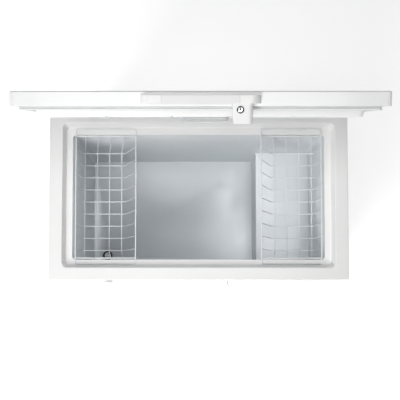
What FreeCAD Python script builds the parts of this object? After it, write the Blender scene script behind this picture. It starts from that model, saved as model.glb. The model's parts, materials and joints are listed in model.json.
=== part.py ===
"""Chest freezer: insulated cabinet, open counterbalanced lid, two hanging wire baskets.

Frame: +X to the right seen from the front, +Y to the back, +Z up, floor at Z = 0.
All sizes are in millimetres. Lid parts are drawn closed and then turned open.
"""
import FreeCAD, Part
import math
import os

V = FreeCAD.Vector
X_DIR = V(1, 0, 0)
Y_DIR = V(0, 1, 0)
Z_DIR = V(0, 0, 1)

# ---- cabinet ----
CABINET_WIDTH = 1222.0
CABINET_DEPTH = 693.0
RIM_Z = 827.0
FOOT_HEIGHT = 20.0
FRONT_Y = -354.0
BACK_Y = FRONT_Y + CABINET_DEPTH
HALF_WIDTH = CABINET_WIDTH / 2
SHEET = 1.0
CORNER_RADIUS = 6.0
FIT_GAP = 0.1

FOOT_X = 560.0

# ---- top trim: sloped rim, recessed ledge, opening ----
TRIM_WALL = 2.5
TRIM_SKIRT = 25.0
RECESS_DEPTH = 40.0
RIM_INNER_X = 557.0
RIM_INNER_FRONT = FRONT_Y + 50.0
RIM_INNER_BACK = FRONT_Y + 643.0
SLOPE_RUN_X = 10.0
SLOPE_RUN_Y = 12.0
RIM_INNER_RADIUS = 22.0
LEDGE_RADIUS = 18.0
OPENING_X = 520.0
OPENING_FRONT = FRONT_Y + 83.0
OPENING_BACK = FRONT_Y + 601.0
OPENING_RADIUS = 16.0
LEDGE_Z = RIM_Z - RECESS_DEPTH

# ---- inner liner ----
LINER_SHEET = 1.2
LINER_X = OPENING_X + 1.0
LINER_FRONT = OPENING_FRONT - 1.0
LINER_BACK = OPENING_BACK + 1.0
FLOOR_Z = RIM_Z - 742.0
STEP_X = 272.5
STEP_TOP_Z = RIM_Z - 484.0
LINER_RADIUS = 13.0
LINER_DRAFT = 8.0

# ---- machine compartment under the step ----
MACHINE_LEFT = 335.0
MACHINE_TOP = STEP_TOP_Z - 58.0
BASE_SHEET = 1.2
MACHINE_FLOOR = FOOT_HEIGHT + BASE_SHEET

# ---- lid, drawn closed ----
LID_OPEN_DEG = 79.0
HINGE_Y = FRONT_Y + 697.0
HINGE_Z = RIM_Z + 20.0
LID_HALF = 618.0
LID_FRONT = FRONT_Y - 10.0
LID_BACK = FRONT_Y + 685.0
LID_BOTTOM = RIM_Z + 13.0
LID_TOP = RIM_Z + 62.0
LID_RADIUS = 10.0
LID_LINER = 2.0
PLUG_FACE = RIM_Z - 20.0
PLUG_BASE_X = 551.0
PLUG_BASE_FRONT = FRONT_Y + 56.0
PLUG_BASE_BACK = FRONT_Y + 637.0
PLUG_TAPER = 10.0
PLUG_RADIUS = 18.0
GROOVE_X = (-311.0, -94.5, 94.5, 311.0)
GROOVE_WIDTH = 8.0
GROOVE_DEPTH = 5.0
GASKET_OUTER_X = 595.0
GASKET_WIDTH = 24.0
GASKET_FRONT = FRONT_Y + 12.0
GASKET_BACK = FRONT_Y + 680.0
SEAL_GAP = 0.3

# ---- lamp in the lid ----
LAMP_X = 19.5
LAMP_Y = HINGE_Y - 480.0
LAMP_LENGTH = 160.0
LAMP_WIDTH = 64.0
LAMP_PROUD = 12.0
LAMP_POCKET = 22.0

# ---- handle ----
HANDLE_HALF = 194.5
HANDLE_PROUD = 26.0
HANDLE_LOW = RIM_Z + 21.7
HANDLE_HIGH = RIM_Z + 48.0
HANDLE_BAR = 12.0
INSERT_HALF = 126.0
INSERT_DEPTH = 2.5

# ---- lock ----
LOCK_LEFT = 103.0
LOCK_RIGHT = 168.0
LOCK_LOW = RIM_Z - 44.5
LOCK_PROUD = 24.0
LOCK_WALL = 4.0
LOCK_BACK = FRONT_Y - 3.0
LOCK_X = 127.3
LOCK_Z = RIM_Z + 1.0
BARREL_RADIUS = 10.0
KEEPER_X = LOCK_X - 9.0
KEEPER_Z = LOCK_Z - 18.5
CAM_FRONT = FRONT_Y - 14.3
CAM_THICK = 3.0
CAM_REACH = 31.0

# ---- hinges ----
HINGE_X = 430.0
KNUCKLE_RADIUS = 9.0
PIN_RADIUS = 3.5
PIN_GAP = 0.05

# ---- baskets ----
ROD_RADIUS = 2.5
WIRE_RADIUS = 2.0
BASKET_OUTER_X = 507.0
BASKET_INNER_X = 259.5
BASKET_FLOOR_OUTER_X = 505.0
BASKET_FLOOR_INNER_X = 318.0
HANGER_FRONT = FRONT_Y + 65.0
HANGER_BACK = FRONT_Y + 622.0
END_FRONT = FRONT_Y + 89.5
END_BACK = FRONT_Y + 594.0
BASKET_FLOOR_FRONT = FRONT_Y + 122.0
BASKET_FLOOR_BACK = FRONT_Y + 556.0
BASKET_DEPTH = 187.0
CROSS_WIRES = 9
CROSS_PITCH = 52.9
CROSS_CENTRE = FRONT_Y + 339.4
LONG_WIRES = 4
LONG_FIRST_X = 494.0
LONG_PITCH = 53.4
LONG_LEAN = 26.0
WELD_GAP = 0.5
HANGER_Z = LEDGE_Z + ROD_RADIUS + SEAL_GAP

# ---- drain ----
DRAIN_X = -446.0
DRAIN_Y = FRONT_Y + 124.0
DRAIN_OUTLET_Z = 52.0
DRAIN_TUBE = 11.0
DRAIN_BORE = 8.0

# ---- controls ----
CONTROL_X = 515.0
CONTROL_Z = 145.0
CONTROL_HALF_X = 48.0
CONTROL_HALF_Z = 23.0
CONTROL_DEPTH = 14.0
KNOB_X = CONTROL_X - 14.0
LIGHT_X = CONTROL_X + 26.0

# ---- rear cover and cord inlet ----
COVER_SHEET = 1.2
GLAND_X = 570.0
GLAND_Z = 56.0
GLAND_RADIUS = 7.0
GLAND_BORE = 4.2

# ---- refrigeration ----
EVAPORATOR_RADIUS = 4.0
EVAPORATOR_LEVELS = (740.0, 650.0, 560.0, 470.0, 380.0)
EVAPORATOR_LOW_LEVELS = (270.0, 150.0)
CONDENSER_RADIUS = 2.5
CONDENSER_LEVELS = (330.0, 450.0, 570.0, 690.0)
COMPRESSOR_X = 475.0
COMPRESSOR_Y = FRONT_Y + 557.0
COMPRESSOR_RADIUS = 68.0
GROMMET_HEIGHT = 14.0
PLATE = 3.0
LINE_Y = LINER_BACK - 15.0
RISER_Y = BACK_Y - 60.0
RISER_Z = MACHINE_TOP - 30.0
DRIER_X = 575.0
DRIER_Y = RISER_Y + 18.0
DRIER_TOP = RISER_Z - 8.0
DRIER_LENGTH = 100.0
EVAPORATOR_END_Z = 100.0
CAPILLARY_RADIUS = 1.5
STUB_Z = 130.0
STUB_REACH = 76.0


def box(x0, x1, y0, y1, z0, z1):
    return Part.makeBox(x1 - x0, y1 - y0, z1 - z0, V(x0, y0, z0))


def rod(start, end, radius):
    along = end - start
    return Part.makeCylinder(radius, along.Length, start, along)


def fuse_all(shapes):
    whole = shapes[0]
    if len(shapes) > 1:
        whole = whole.multiFuse(shapes[1:])
    return whole.removeSplitter()


def outline(x0, x1, y0, y1, z, radius):
    """Closed rounded-rectangle wire at height z."""
    corners = (
        (x1 - radius, y0 + radius, -90),
        (x1 - radius, y1 - radius, 0),
        (x0 + radius, y1 - radius, 90),
        (x0 + radius, y0 + radius, 180),
    )
    arcs = [
        Part.makeCircle(radius, V(cx, cy, z), Z_DIR, start, start + 90)
        for cx, cy, start in corners
    ]
    edges = []
    for arc, following in zip(arcs, arcs[1:] + arcs[:1]):
        edges.append(arc)
        edges.append(Part.makeLine(arc.lastVertex().Point, following.firstVertex().Point))
    return Part.Wire(edges)


def prism(x0, x1, y0, y1, z0, z1, radius):
    """Upright prism with rounded vertical edges."""
    face = Part.Face(outline(x0, x1, y0, y1, z0, radius))
    return face.extrude(V(0, 0, z1 - z0))


def frustum(low, high):
    """Solid between two rounded-rectangle wires of the same make."""
    return Part.makeLoft([low, high], True, True)


def tube(points, radius, bend):
    """Round bar along straight runs joined by tangent arcs."""
    edges = []
    start = points[0]
    for before, corner, after in zip(points, points[1:], points[2:]):
        back = (before - corner).normalize()
        ahead = (after - corner).normalize()
        half_turn = (math.pi - back.getAngle(ahead)) / 2
        reach = bend * math.tan(half_turn)
        enter = corner + back * reach
        leave = corner + ahead * reach
        inward = (back + ahead).normalize()
        centre = corner + inward * (bend / math.cos(half_turn))
        middle = centre - inward * bend
        edges.append(Part.makeLine(start, enter))
        edges.append(Part.Arc(enter, middle, leave).toShape())
        start = leave
    edges.append(Part.makeLine(start, points[-1]))
    path = Part.Wire(edges)
    circle = Part.makeCircle(radius, points[0], points[1] - points[0])
    bar = path.makePipeShell([Part.Wire(circle)], True, False)
    return bar if bar.ShapeType == "Solid" else Part.Solid(bar)


def channels(points, radius, bend):
    """Square clearance boxes round each axis-parallel run of a tube, wide enough for its bends."""
    half = 0.3 * bend + 0.71 * radius + 0.5
    cuts = []
    for a, b in zip(points, points[1:]):
        cuts.append(
            box(
                min(a.x, b.x) - half,
                max(a.x, b.x) + half,
                min(a.y, b.y) - half,
                max(a.y, b.y) + half,
                min(a.z, b.z) - half,
                max(a.z, b.z) + half,
            )
        )
    return cuts


def screw(seat, inward, head_radius, head_height, shank_radius, shank_length):
    """Pan-head screw with a cross recess. seat is where the head meets the part."""
    shank = Part.makeCylinder(shank_radius, shank_length, seat, inward)
    head = Part.makeCone(head_radius, head_radius * 0.7, head_height, seat, inward * -1)
    whole = head.fuse(shank)
    side = X_DIR if abs(inward.x) < 0.5 else Z_DIR
    other = inward.cross(side)
    top = seat - inward * head_height
    for along in (side, other):
        slot = Part.makeBox(head_radius * 0.9, head_radius * 0.22, head_height * 1.1)
        slot.translate(V(-head_radius * 0.45, -head_radius * 0.11, -head_height * 0.55))
        turn = FreeCAD.Rotation(along, inward.cross(along), inward, "ZXY")
        slot.Placement = FreeCAD.Placement(top, turn).multiply(slot.Placement)
        whole = whole.cut(slot)
    return whole


def open_lid(shape):
    turned = shape.copy()
    turned.rotate(V(0, HINGE_Y, HINGE_Z), X_DIR, -LID_OPEN_DEG)
    return turned


def mirrored(shape):
    return shape.mirror(V(0, 0, 0), X_DIR)


# ---- cabinet shell ----
def keeper_screw_seats():
    return [V(KEEPER_X + 3.7 + side * 10.5, FRONT_Y - 2.0, KEEPER_Z) for side in (-1, 1)]


def cabinet_wrapper():
    low, high = FOOT_HEIGHT, RIM_Z - TRIM_SKIRT
    outer = prism(-HALF_WIDTH, HALF_WIDTH, FRONT_Y, BACK_Y + 20, low, high, CORNER_RADIUS)
    inner = prism(
        SHEET - HALF_WIDTH,
        HALF_WIDTH - SHEET,
        FRONT_Y + SHEET,
        BACK_Y + 30,
        low - 1,
        high + 1,
        CORNER_RADIUS - SHEET,
    )
    shell = outer.cut(inner).cut(box(-700, 700, BACK_Y, BACK_Y + 40, 0, 900))
    window = box(
        CONTROL_X - CONTROL_HALF_X + 4,
        CONTROL_X + CONTROL_HALF_X - 4,
        FRONT_Y - 5,
        FRONT_Y + 5,
        CONTROL_Z - CONTROL_HALF_Z + 4,
        CONTROL_Z + CONTROL_HALF_Z - 4,
    )
    drain_hole = Part.makeCylinder(11.3, 10, V(DRAIN_X, FRONT_Y - 5, DRAIN_OUTLET_Z), Y_DIR)
    return shell.cut([window, drain_hole])


def hinge_screw_seats():
    seats = []
    for side in (-1, 1):
        for dx in (-24, 24):
            for z in (RIM_Z - 72, RIM_Z - 38):
                seats.append(V(side * HINGE_X + dx, BACK_Y + 3, z))
    return seats


def back_panel():
    panel = box(
        SHEET - HALF_WIDTH,
        HALF_WIDTH - SHEET,
        BACK_Y - SHEET,
        BACK_Y,
        FOOT_HEIGHT,
        RIM_Z - TRIM_SKIRT,
    )
    doorway = box(MACHINE_LEFT + 15, 595, BACK_Y - 5, BACK_Y + 5, 36, MACHINE_TOP - 15)
    holes = [doorway]
    for seat in hinge_screw_seats():
        holes.append(Part.makeCylinder(2.6, 8, seat - Y_DIR * 6, Y_DIR))
    for seat in cover_screw_seats():
        holes.append(Part.makeCylinder(2.1, 8, seat - Y_DIR * 6, Y_DIR))
    return panel.cut(holes)


def base_pan():
    pan = box(
        SHEET - HALF_WIDTH,
        HALF_WIDTH - SHEET,
        FRONT_Y + CORNER_RADIUS,
        BACK_Y - SHEET,
        FOOT_HEIGHT,
        MACHINE_FLOOR,
    )
    vents = []
    for row in range(6):
        y = FRONT_Y + 140 + 36 * row
        vents.append(prism(MACHINE_LEFT + 50, 560, y, y + 10, 0, 40, 4.5))
    return pan.cut(vents)


def recess_solid(grow, bottom, top):
    """Space of the sloped recess, grown sideways, between two heights."""
    slope = (RIM_Z - bottom) / RECESS_DEPTH
    rise = (top - RIM_Z) / RECESS_DEPTH

    def ring(share, z, radius):
        return outline(
            -RIM_INNER_X + SLOPE_RUN_X * share - grow,
            RIM_INNER_X - SLOPE_RUN_X * share + grow,
            RIM_INNER_FRONT + SLOPE_RUN_Y * share - grow,
            RIM_INNER_BACK - SLOPE_RUN_Y * share + grow,
            z,
            radius + grow,
        )

    low = ring(slope, bottom, LEDGE_RADIUS)
    high = ring(-rise, top, RIM_INNER_RADIUS)
    return frustum(low, high)


def top_trim():
    low = RIM_Z - TRIM_SKIRT
    outer = prism(-HALF_WIDTH, HALF_WIDTH, FRONT_Y, BACK_Y, low, RIM_Z, CORNER_RADIUS)
    top_edges = [e for e in outer.Edges if abs(e.BoundBox.ZMin - RIM_Z) < 1e-6]
    outer = outer.makeFillet(3.0, top_edges)
    hollow = prism(
        TRIM_WALL - HALF_WIDTH,
        HALF_WIDTH - TRIM_WALL,
        FRONT_Y + TRIM_WALL,
        BACK_Y - TRIM_WALL,
        low - 1,
        RIM_Z - TRIM_WALL,
        CORNER_RADIUS - TRIM_WALL,
    )
    cap = outer.cut(hollow)
    well = recess_solid(TRIM_WALL, LEDGE_Z - TRIM_WALL, RIM_Z)
    air = recess_solid(0, LEDGE_Z, RIM_Z + 1)
    throat = prism(
        -OPENING_X,
        OPENING_X,
        OPENING_FRONT,
        OPENING_BACK,
        LEDGE_Z - 5,
        LEDGE_Z + 5,
        OPENING_RADIUS,
    )
    holes = [Part.makeCylinder(2.1, 10, seat, Y_DIR) for seat in keeper_screw_seats()]
    return cap.fuse(well).cut([air, throat] + holes).removeSplitter()


def tapered_box(low, high):
    """Flat-sided solid between two level rectangles, each (x0, x1, y0, y1, z)."""
    x0, x1, y0, y1, bottom = low
    far_x0, far_x1, far_y0, far_y1, top = high
    wedge = Part.makeWedge(x0, bottom, -y1, -far_y1, far_x0, x1, top, -y0, -far_y0, far_x1)
    wedge.rotate(V(0, 0, 0), X_DIR, 90)
    return wedge


def liner_plan(right, grow, z):
    """Rectangle of the cabinet's air space at one height. Its walls lean in towards the floor."""
    inset = LINER_DRAFT * (LEDGE_Z - z) / (LEDGE_Z - FLOOR_Z)
    return (
        inset - LINER_X - grow,
        min(right, LINER_X - inset) + grow,
        LINER_FRONT + inset - grow,
        LINER_BACK - inset + grow,
        z,
    )


def liner_block(grow, top):
    """Air space of the cabinet, with the step at the right, grown outwards."""
    bottom, middle = FLOOR_Z - grow, STEP_TOP_Z - grow
    deep = tapered_box(liner_plan(STEP_X, grow, bottom), liner_plan(STEP_X, grow, middle))
    wide = tapered_box(liner_plan(LINER_X, grow, middle), liner_plan(LINER_X, grow, top))
    block = deep.fuse(wide).removeSplitter()
    uprights = [e for e in block.Edges if e.BoundBox.ZLength > RECESS_DEPTH]
    return block.makeFillet(LINER_RADIUS + grow, uprights)


def inner_liner():
    top = LEDGE_Z - TRIM_WALL
    shell = liner_block(LINER_SHEET, top).cut(liner_block(0, top + 5))
    drain = Part.makeCylinder(14.0, 20, V(DRAIN_X, DRAIN_Y, FLOOR_Z - 10), Z_DIR)
    return shell.cut(drain)


def evaporator_path():
    """Serpentine round the liner, from the top down, then a low turn round the deep part."""
    right = LINER_X + LINER_SHEET + EVAPORATOR_RADIUS + 0.3
    low_right = STEP_X + LINER_SHEET + EVAPORATOR_RADIUS + 0.3
    front = LINER_FRONT - LINER_SHEET - EVAPORATOR_RADIUS - 0.3
    levels = [(z, right) for z in EVAPORATOR_LEVELS]
    levels += [(z, low_right) for z in EVAPORATOR_LOW_LEVELS]
    points = []
    for count, (z, reach) in enumerate(levels):
        ends = [
            V(reach, LINE_Y, z),
            V(reach, front, z),
            V(-right, front, z),
            V(-right, LINE_Y, z),
        ]
        points.extend(ends if count % 2 == 0 else ends[::-1])
    return points + [V(-right, LINE_Y, EVAPORATOR_END_Z)]


def condenser_path():
    """Serpentine behind the outer sheet, starting and ending over the machine floor."""
    right = HALF_WIDTH - SHEET - CONDENSER_RADIUS - 0.3
    front = FRONT_Y + SHEET + CONDENSER_RADIUS + 0.3
    points = [V(right, RISER_Y, RISER_Z)]
    for count, z in enumerate(CONDENSER_LEVELS):
        ends = [
            V(right, RISER_Y, z),
            V(right, front, z),
            V(-right, front, z),
            V(-right, RISER_Y, z),
        ]
        points.extend(ends if count % 2 == 0 else ends[::-1])
    points[-1] = V(right, DRIER_Y, CONDENSER_LEVELS[-1])
    turn_z = RISER_Z + 13
    return points + [
        V(right, DRIER_Y, turn_z),
        V(DRIER_X, DRIER_Y, turn_z),
        V(DRIER_X, DRIER_Y, DRIER_TOP),
    ]


def suction_path():
    """From the evaporator's lower end, under the floor, to the compressor's left side."""
    start = evaporator_path()[-1]
    riser_x = COMPRESSOR_X - COMPRESSOR_RADIUS - 32
    return [
        start,
        V(start.x, LINE_Y, 62.0),
        V(riser_x, LINE_Y, 62.0),
        V(riser_x, LINE_Y, STUB_Z),
        V(COMPRESSOR_X - STUB_REACH, LINE_Y, STUB_Z),
    ]


def discharge_path():
    end = condenser_path()[0]
    return [
        V(COMPRESSOR_X + STUB_REACH, LINE_Y, STUB_Z),
        V(end.x, LINE_Y, STUB_Z),
        V(end.x, end.y, STUB_Z),
        end,
    ]


def capillary_path():
    """From the drier up behind the liner to the evaporator's upper end."""
    end = evaporator_path()[0]
    behind_y = LINER_BACK + 6
    return [
        V(DRIER_X, DRIER_Y, DRIER_TOP - DRIER_LENGTH),
        V(DRIER_X, DRIER_Y, 100.0),
        V(end.x, DRIER_Y, 100.0),
        V(end.x, DRIER_Y, RISER_Z),
        V(end.x, behind_y, RISER_Z),
        V(end.x, behind_y, end.z),
        end,
    ]


def line_runs():
    """Route, tube radius and bend radius of every refrigerant line."""
    wrap_bend = LINER_RADIUS + LINER_SHEET + EVAPORATOR_RADIUS + 0.3
    return {
        "evaporator_coil": (evaporator_path(), EVAPORATOR_RADIUS, wrap_bend),
        "condenser_coil": (condenser_path(), CONDENSER_RADIUS, 6.0),
        "suction_line": (suction_path(), EVAPORATOR_RADIUS, 14.0),
        "discharge_line": (discharge_path(), CONDENSER_RADIUS, 10.0),
        "capillary_tube": (capillary_path(), CAPILLARY_RADIUS, 8.0),
    }


def compressor():
    """Welded steel shell with its seam, mounting plate and three line stubs."""
    bottom = MACHINE_FLOOR + 2 * BASE_SHEET + GROMMET_HEIGHT + PLATE
    height = 178.0
    shell = Part.makeCylinder(COMPRESSOR_RADIUS, height, V(COMPRESSOR_X, COMPRESSOR_Y, bottom), Z_DIR)
    rims = [e for e in shell.Edges if e.BoundBox.ZLength < 1e-6]
    shell = shell.makeFillet(34.0, rims)
    seam_z = bottom + height * 0.62
    seam = Part.makeCylinder(
        COMPRESSOR_RADIUS + 4, 5, V(COMPRESSOR_X, COMPRESSOR_Y, seam_z), Z_DIR
    )
    plate = prism(
        COMPRESSOR_X - 78,
        COMPRESSOR_X + 78,
        COMPRESSOR_Y - 60,
        COMPRESSOR_Y + 60,
        bottom - PLATE,
        bottom + 0.5,
        16,
    )
    for x, y in grommet_places():
        plate = plate.cut(Part.makeCylinder(5.2, 20, V(x, y, bottom - 10), Z_DIR))
    stubs = []
    for side in (-1, 1):
        inside = V(COMPRESSOR_X + side * 40, LINE_Y, STUB_Z)
        stubs.append(rod(inside, V(COMPRESSOR_X + side * STUB_REACH, LINE_Y, STUB_Z), 4.5))
    low_side = V(COMPRESSOR_X + 20, COMPRESSOR_Y - 40, STUB_Z)
    stubs.append(rod(low_side, low_side - Y_DIR * 45, 3.5))
    return fuse_all([shell, seam, plate] + stubs)


def grommet_places():
    return [
        (COMPRESSOR_X + dx, COMPRESSOR_Y + dy) for dx in (-66, 66) for dy in (-48, 48)
    ]


def compressor_base_plate():
    low = MACHINE_FLOOR
    plate = box(MACHINE_LEFT + 12, 596, FRONT_Y + 470, BACK_Y - 12, low, low + BASE_SHEET * 2)
    return plate.cut(box(COMPRESSOR_X - 35, COMPRESSOR_X + 35, COMPRESSOR_Y - 30, COMPRESSOR_Y + 30, 0, 60))


def compressor_grommets():
    low = MACHINE_FLOOR + 2 * BASE_SHEET
    pads = []
    for x, y in grommet_places():
        base = Part.makeCylinder(10, GROMMET_HEIGHT, V(x, y, low), Z_DIR)
        neck = Part.makeCylinder(5.0, PLATE + 1, V(x, y, low + GROMMET_HEIGHT), Z_DIR)
        cap = Part.makeCylinder(8.5, 4, V(x, y, low + GROMMET_HEIGHT + PLATE + 1), Z_DIR)
        pads.append(base.fuse([neck, cap]))
    return Part.makeCompound(pads)


def compressor_relay():
    """Terminal and relay cover, hugging the front of the shell."""
    y = COMPRESSOR_Y - COMPRESSOR_RADIUS
    cover = box(COMPRESSOR_X - 42, COMPRESSOR_X + 8, y - 34, y + 14, 84, 146)
    cover = cover.makeFillet(4.0, [e for e in cover.Edges if e.BoundBox.YMax < y - 33])
    body = Part.makeCylinder(COMPRESSOR_RADIUS, 200, V(COMPRESSOR_X, COMPRESSOR_Y, 40), Z_DIR)
    return cover.cut(body)


def filter_drier():
    neck = 14.0
    bottom = DRIER_TOP - DRIER_LENGTH
    low = Part.makeCone(3, 9.5, neck, V(DRIER_X, DRIER_Y, bottom), Z_DIR)
    middle = Part.makeCylinder(
        9.5, DRIER_LENGTH - 2 * neck, V(DRIER_X, DRIER_Y, bottom + neck), Z_DIR
    )
    high = Part.makeCone(9.5, 3, neck, V(DRIER_X, DRIER_Y, DRIER_TOP - neck), Z_DIR)
    return fuse_all([low, middle, high])


def cover_screw_seats():
    seats = []
    for x in (MACHINE_LEFT + 9, 601):
        for z in (44, MACHINE_TOP - 23):
            seats.append(V(x, BACK_Y + COVER_SHEET, z))
    return seats


def rear_access_cover():
    """Louvred sheet over the machine compartment's doorway."""
    low, high = 28.0, MACHINE_TOP - 7
    cover = box(MACHINE_LEFT + 3, 607, BACK_Y, BACK_Y + COVER_SHEET, low, high)
    slots = []
    for column in (MACHINE_LEFT + 40, MACHINE_LEFT + 145):
        for row in range(9):
            z = 84 + 20 * row
            slots.append(box(column, column + 80, BACK_Y - 1, BACK_Y + 5, z, z + 7))
    gland_hole = Part.makeCylinder(GLAND_RADIUS + 0.1, 10, V(GLAND_X, BACK_Y - 5, GLAND_Z), Y_DIR)
    holes = slots + [gland_hole]
    for seat in cover_screw_seats():
        holes.append(Part.makeCylinder(2.1, 8, seat - Y_DIR * 6, Y_DIR))
    return cover.cut(holes)


def power_cord_gland():
    """Moulded inlet bush for the mains lead."""
    mouth_y = BACK_Y + COVER_SHEET
    flange = Part.makeCylinder(12.0, 3, V(GLAND_X, mouth_y, GLAND_Z), Y_DIR)
    nose = Part.makeCone(9.0, 7.0, 7, V(GLAND_X, mouth_y + 3, GLAND_Z), Y_DIR)
    barrel = Part.makeCylinder(GLAND_RADIUS, 12, V(GLAND_X, mouth_y - 12, GLAND_Z), Y_DIR)
    bore = Part.makeCylinder(GLAND_BORE, 40, V(GLAND_X, mouth_y - 20, GLAND_Z), Y_DIR)
    return fuse_all([flange, nose, barrel]).cut(bore)


def access_cover_screws():
    return Part.makeCompound([screw(s, Y_DIR * -1, 4.2, 2.6, 2.0, 7) for s in cover_screw_seats()])


def drain_cup():
    """Floor drain with its flange, down to the level of the outlet tube."""
    base = DRAIN_OUTLET_Z - 14
    flange = Part.makeCylinder(22.0, 2, V(DRAIN_X, DRAIN_Y, FLOOR_Z), Z_DIR)
    wall = Part.makeCylinder(13.8, FLOOR_Z - base + 1, V(DRAIN_X, DRAIN_Y, base), Z_DIR)
    bore = Part.makeCylinder(12.0, FLOOR_Z - base + 20, V(DRAIN_X, DRAIN_Y, base + 2), Z_DIR)
    port = Part.makeCylinder(DRAIN_BORE, 30, V(DRAIN_X, DRAIN_Y, DRAIN_OUTLET_Z), Y_DIR * -1)
    return flange.fuse(wall).cut([bore, port])


def drain_outlet():
    length = DRAIN_Y - 13.8 - FRONT_Y + 8
    start = V(DRAIN_X, FRONT_Y - 8, DRAIN_OUTLET_Z)
    body = Part.makeCylinder(DRAIN_TUBE, length + 3, start, Y_DIR)
    bore = Part.makeCylinder(DRAIN_BORE, length + 10, start - Y_DIR, Y_DIR)
    cup = Part.makeCylinder(13.8, 60, V(DRAIN_X, DRAIN_Y, DRAIN_OUTLET_Z - 25), Z_DIR)
    return body.cut([bore, cup])


def drain_plug():
    """Soft plug with a raised ring and a grip bar across its dish."""
    seat = FLOOR_Z + 2 + SEAL_GAP
    head = Part.makeCone(23.5, 20.0, 7, V(DRAIN_X, DRAIN_Y, seat), Z_DIR)
    dish = Part.makeCylinder(15.0, 6, V(DRAIN_X, DRAIN_Y, seat + 3), Z_DIR)
    bar = box(DRAIN_X - 15.5, DRAIN_X + 15.5, DRAIN_Y - 3, DRAIN_Y + 3, seat + 1, seat + 10)
    stem = Part.makeCylinder(11.6, 16.5, V(DRAIN_X, DRAIN_Y, seat - 16), Z_DIR)
    return fuse_all([head.cut(dish), bar, stem])


def drain_cap():
    """Push-on cap over the outlet, with a ribbed skirt."""
    face_y = FRONT_Y - 11.5
    body = Part.makeCylinder(22.5, 11, V(DRAIN_X, face_y, DRAIN_OUTLET_Z), Y_DIR)
    body = body.makeChamfer(1.5, [e for e in body.Edges if e.BoundBox.YMax < face_y + 0.1])
    pocket = Part.makeCylinder(DRAIN_TUBE + SEAL_GAP, 12, V(DRAIN_X, FRONT_Y - 8.5, DRAIN_OUTLET_Z), Y_DIR)
    notches = []
    for step in range(12):
        angle = math.radians(30 * step)
        centre = V(DRAIN_X + 24 * math.cos(angle), face_y - 1, DRAIN_OUTLET_Z + 24 * math.sin(angle))
        notches.append(Part.makeCylinder(2.6, 14, centre, Y_DIR))
    return body.cut([pocket] + notches)


def foot(x, y):
    pad = Part.makeCone(21.0, 17.0, FOOT_HEIGHT, V(x, y, 0), Z_DIR)
    return pad.makeChamfer(1.0, [e for e in pad.Edges if e.BoundBox.ZMax < 0.1])


def control_bezel():
    """Dished panel for the thermostat knob and the power light."""
    x0, x1 = CONTROL_X - CONTROL_HALF_X, CONTROL_X + CONTROL_HALF_X
    z0, z1 = CONTROL_Z - CONTROL_HALF_Z, CONTROL_Z + CONTROL_HALF_Z
    flange = box(x0, x1, FRONT_Y - 1.5, FRONT_Y, z0, z1)
    tub = box(x0 + 4.2, x1 - 4.2, FRONT_Y, FRONT_Y + CONTROL_DEPTH, z0 + 4.2, z1 - 4.2)
    dish = box(x0 + 6, x1 - 6, FRONT_Y - 5, FRONT_Y + CONTROL_DEPTH - 2, z0 + 6, z1 - 6)
    shaft_hole = Part.makeCylinder(3.05, 40, V(KNOB_X, FRONT_Y, CONTROL_Z), Y_DIR)
    light_hole = Part.makeCylinder(4.1, 40, V(LIGHT_X, FRONT_Y, CONTROL_Z), Y_DIR)
    return flange.fuse(tub).cut([dish, shaft_hole, light_hole])


def thermostat_knob():
    back = FRONT_Y + CONTROL_DEPTH - 2 - SEAL_GAP
    disc = Part.makeCone(15.0, 13.0, 5, V(KNOB_X, back, CONTROL_Z), Y_DIR * -1)
    ridge = box(KNOB_X - 2.5, KNOB_X + 2.5, back - 10, back - 4, CONTROL_Z - 13, CONTROL_Z + 13)
    shaft = Part.makeCylinder(3.0, 13, V(KNOB_X, back - 1, CONTROL_Z), Y_DIR)
    return fuse_all([disc, ridge, shaft])


def power_light_lens():
    back = FRONT_Y + CONTROL_DEPTH
    lens = Part.makeCylinder(4.0, 5, V(LIGHT_X, back - 5, CONTROL_Z), Y_DIR)
    return lens.makeFillet(1.5, [e for e in lens.Edges if e.BoundBox.YMax < back - 4.9])


def thermostat_body():
    front = FRONT_Y + CONTROL_DEPTH
    body = box(KNOB_X - 22, KNOB_X + 22, front, front + 32, CONTROL_Z - 16, CONTROL_Z + 16)
    bore = Part.makeCylinder(3.05, 14, V(KNOB_X, front - 1, CONTROL_Z), Y_DIR)
    tag = box(KNOB_X - 3, KNOB_X + 3, front + 32, front + 42, CONTROL_Z - 0.5, CONTROL_Z + 0.5)
    tags = [tag.translated(V(dx, 0, 0)) for dx in (-10, 10)]
    return body.cut(bore).fuse(tags)


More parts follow.
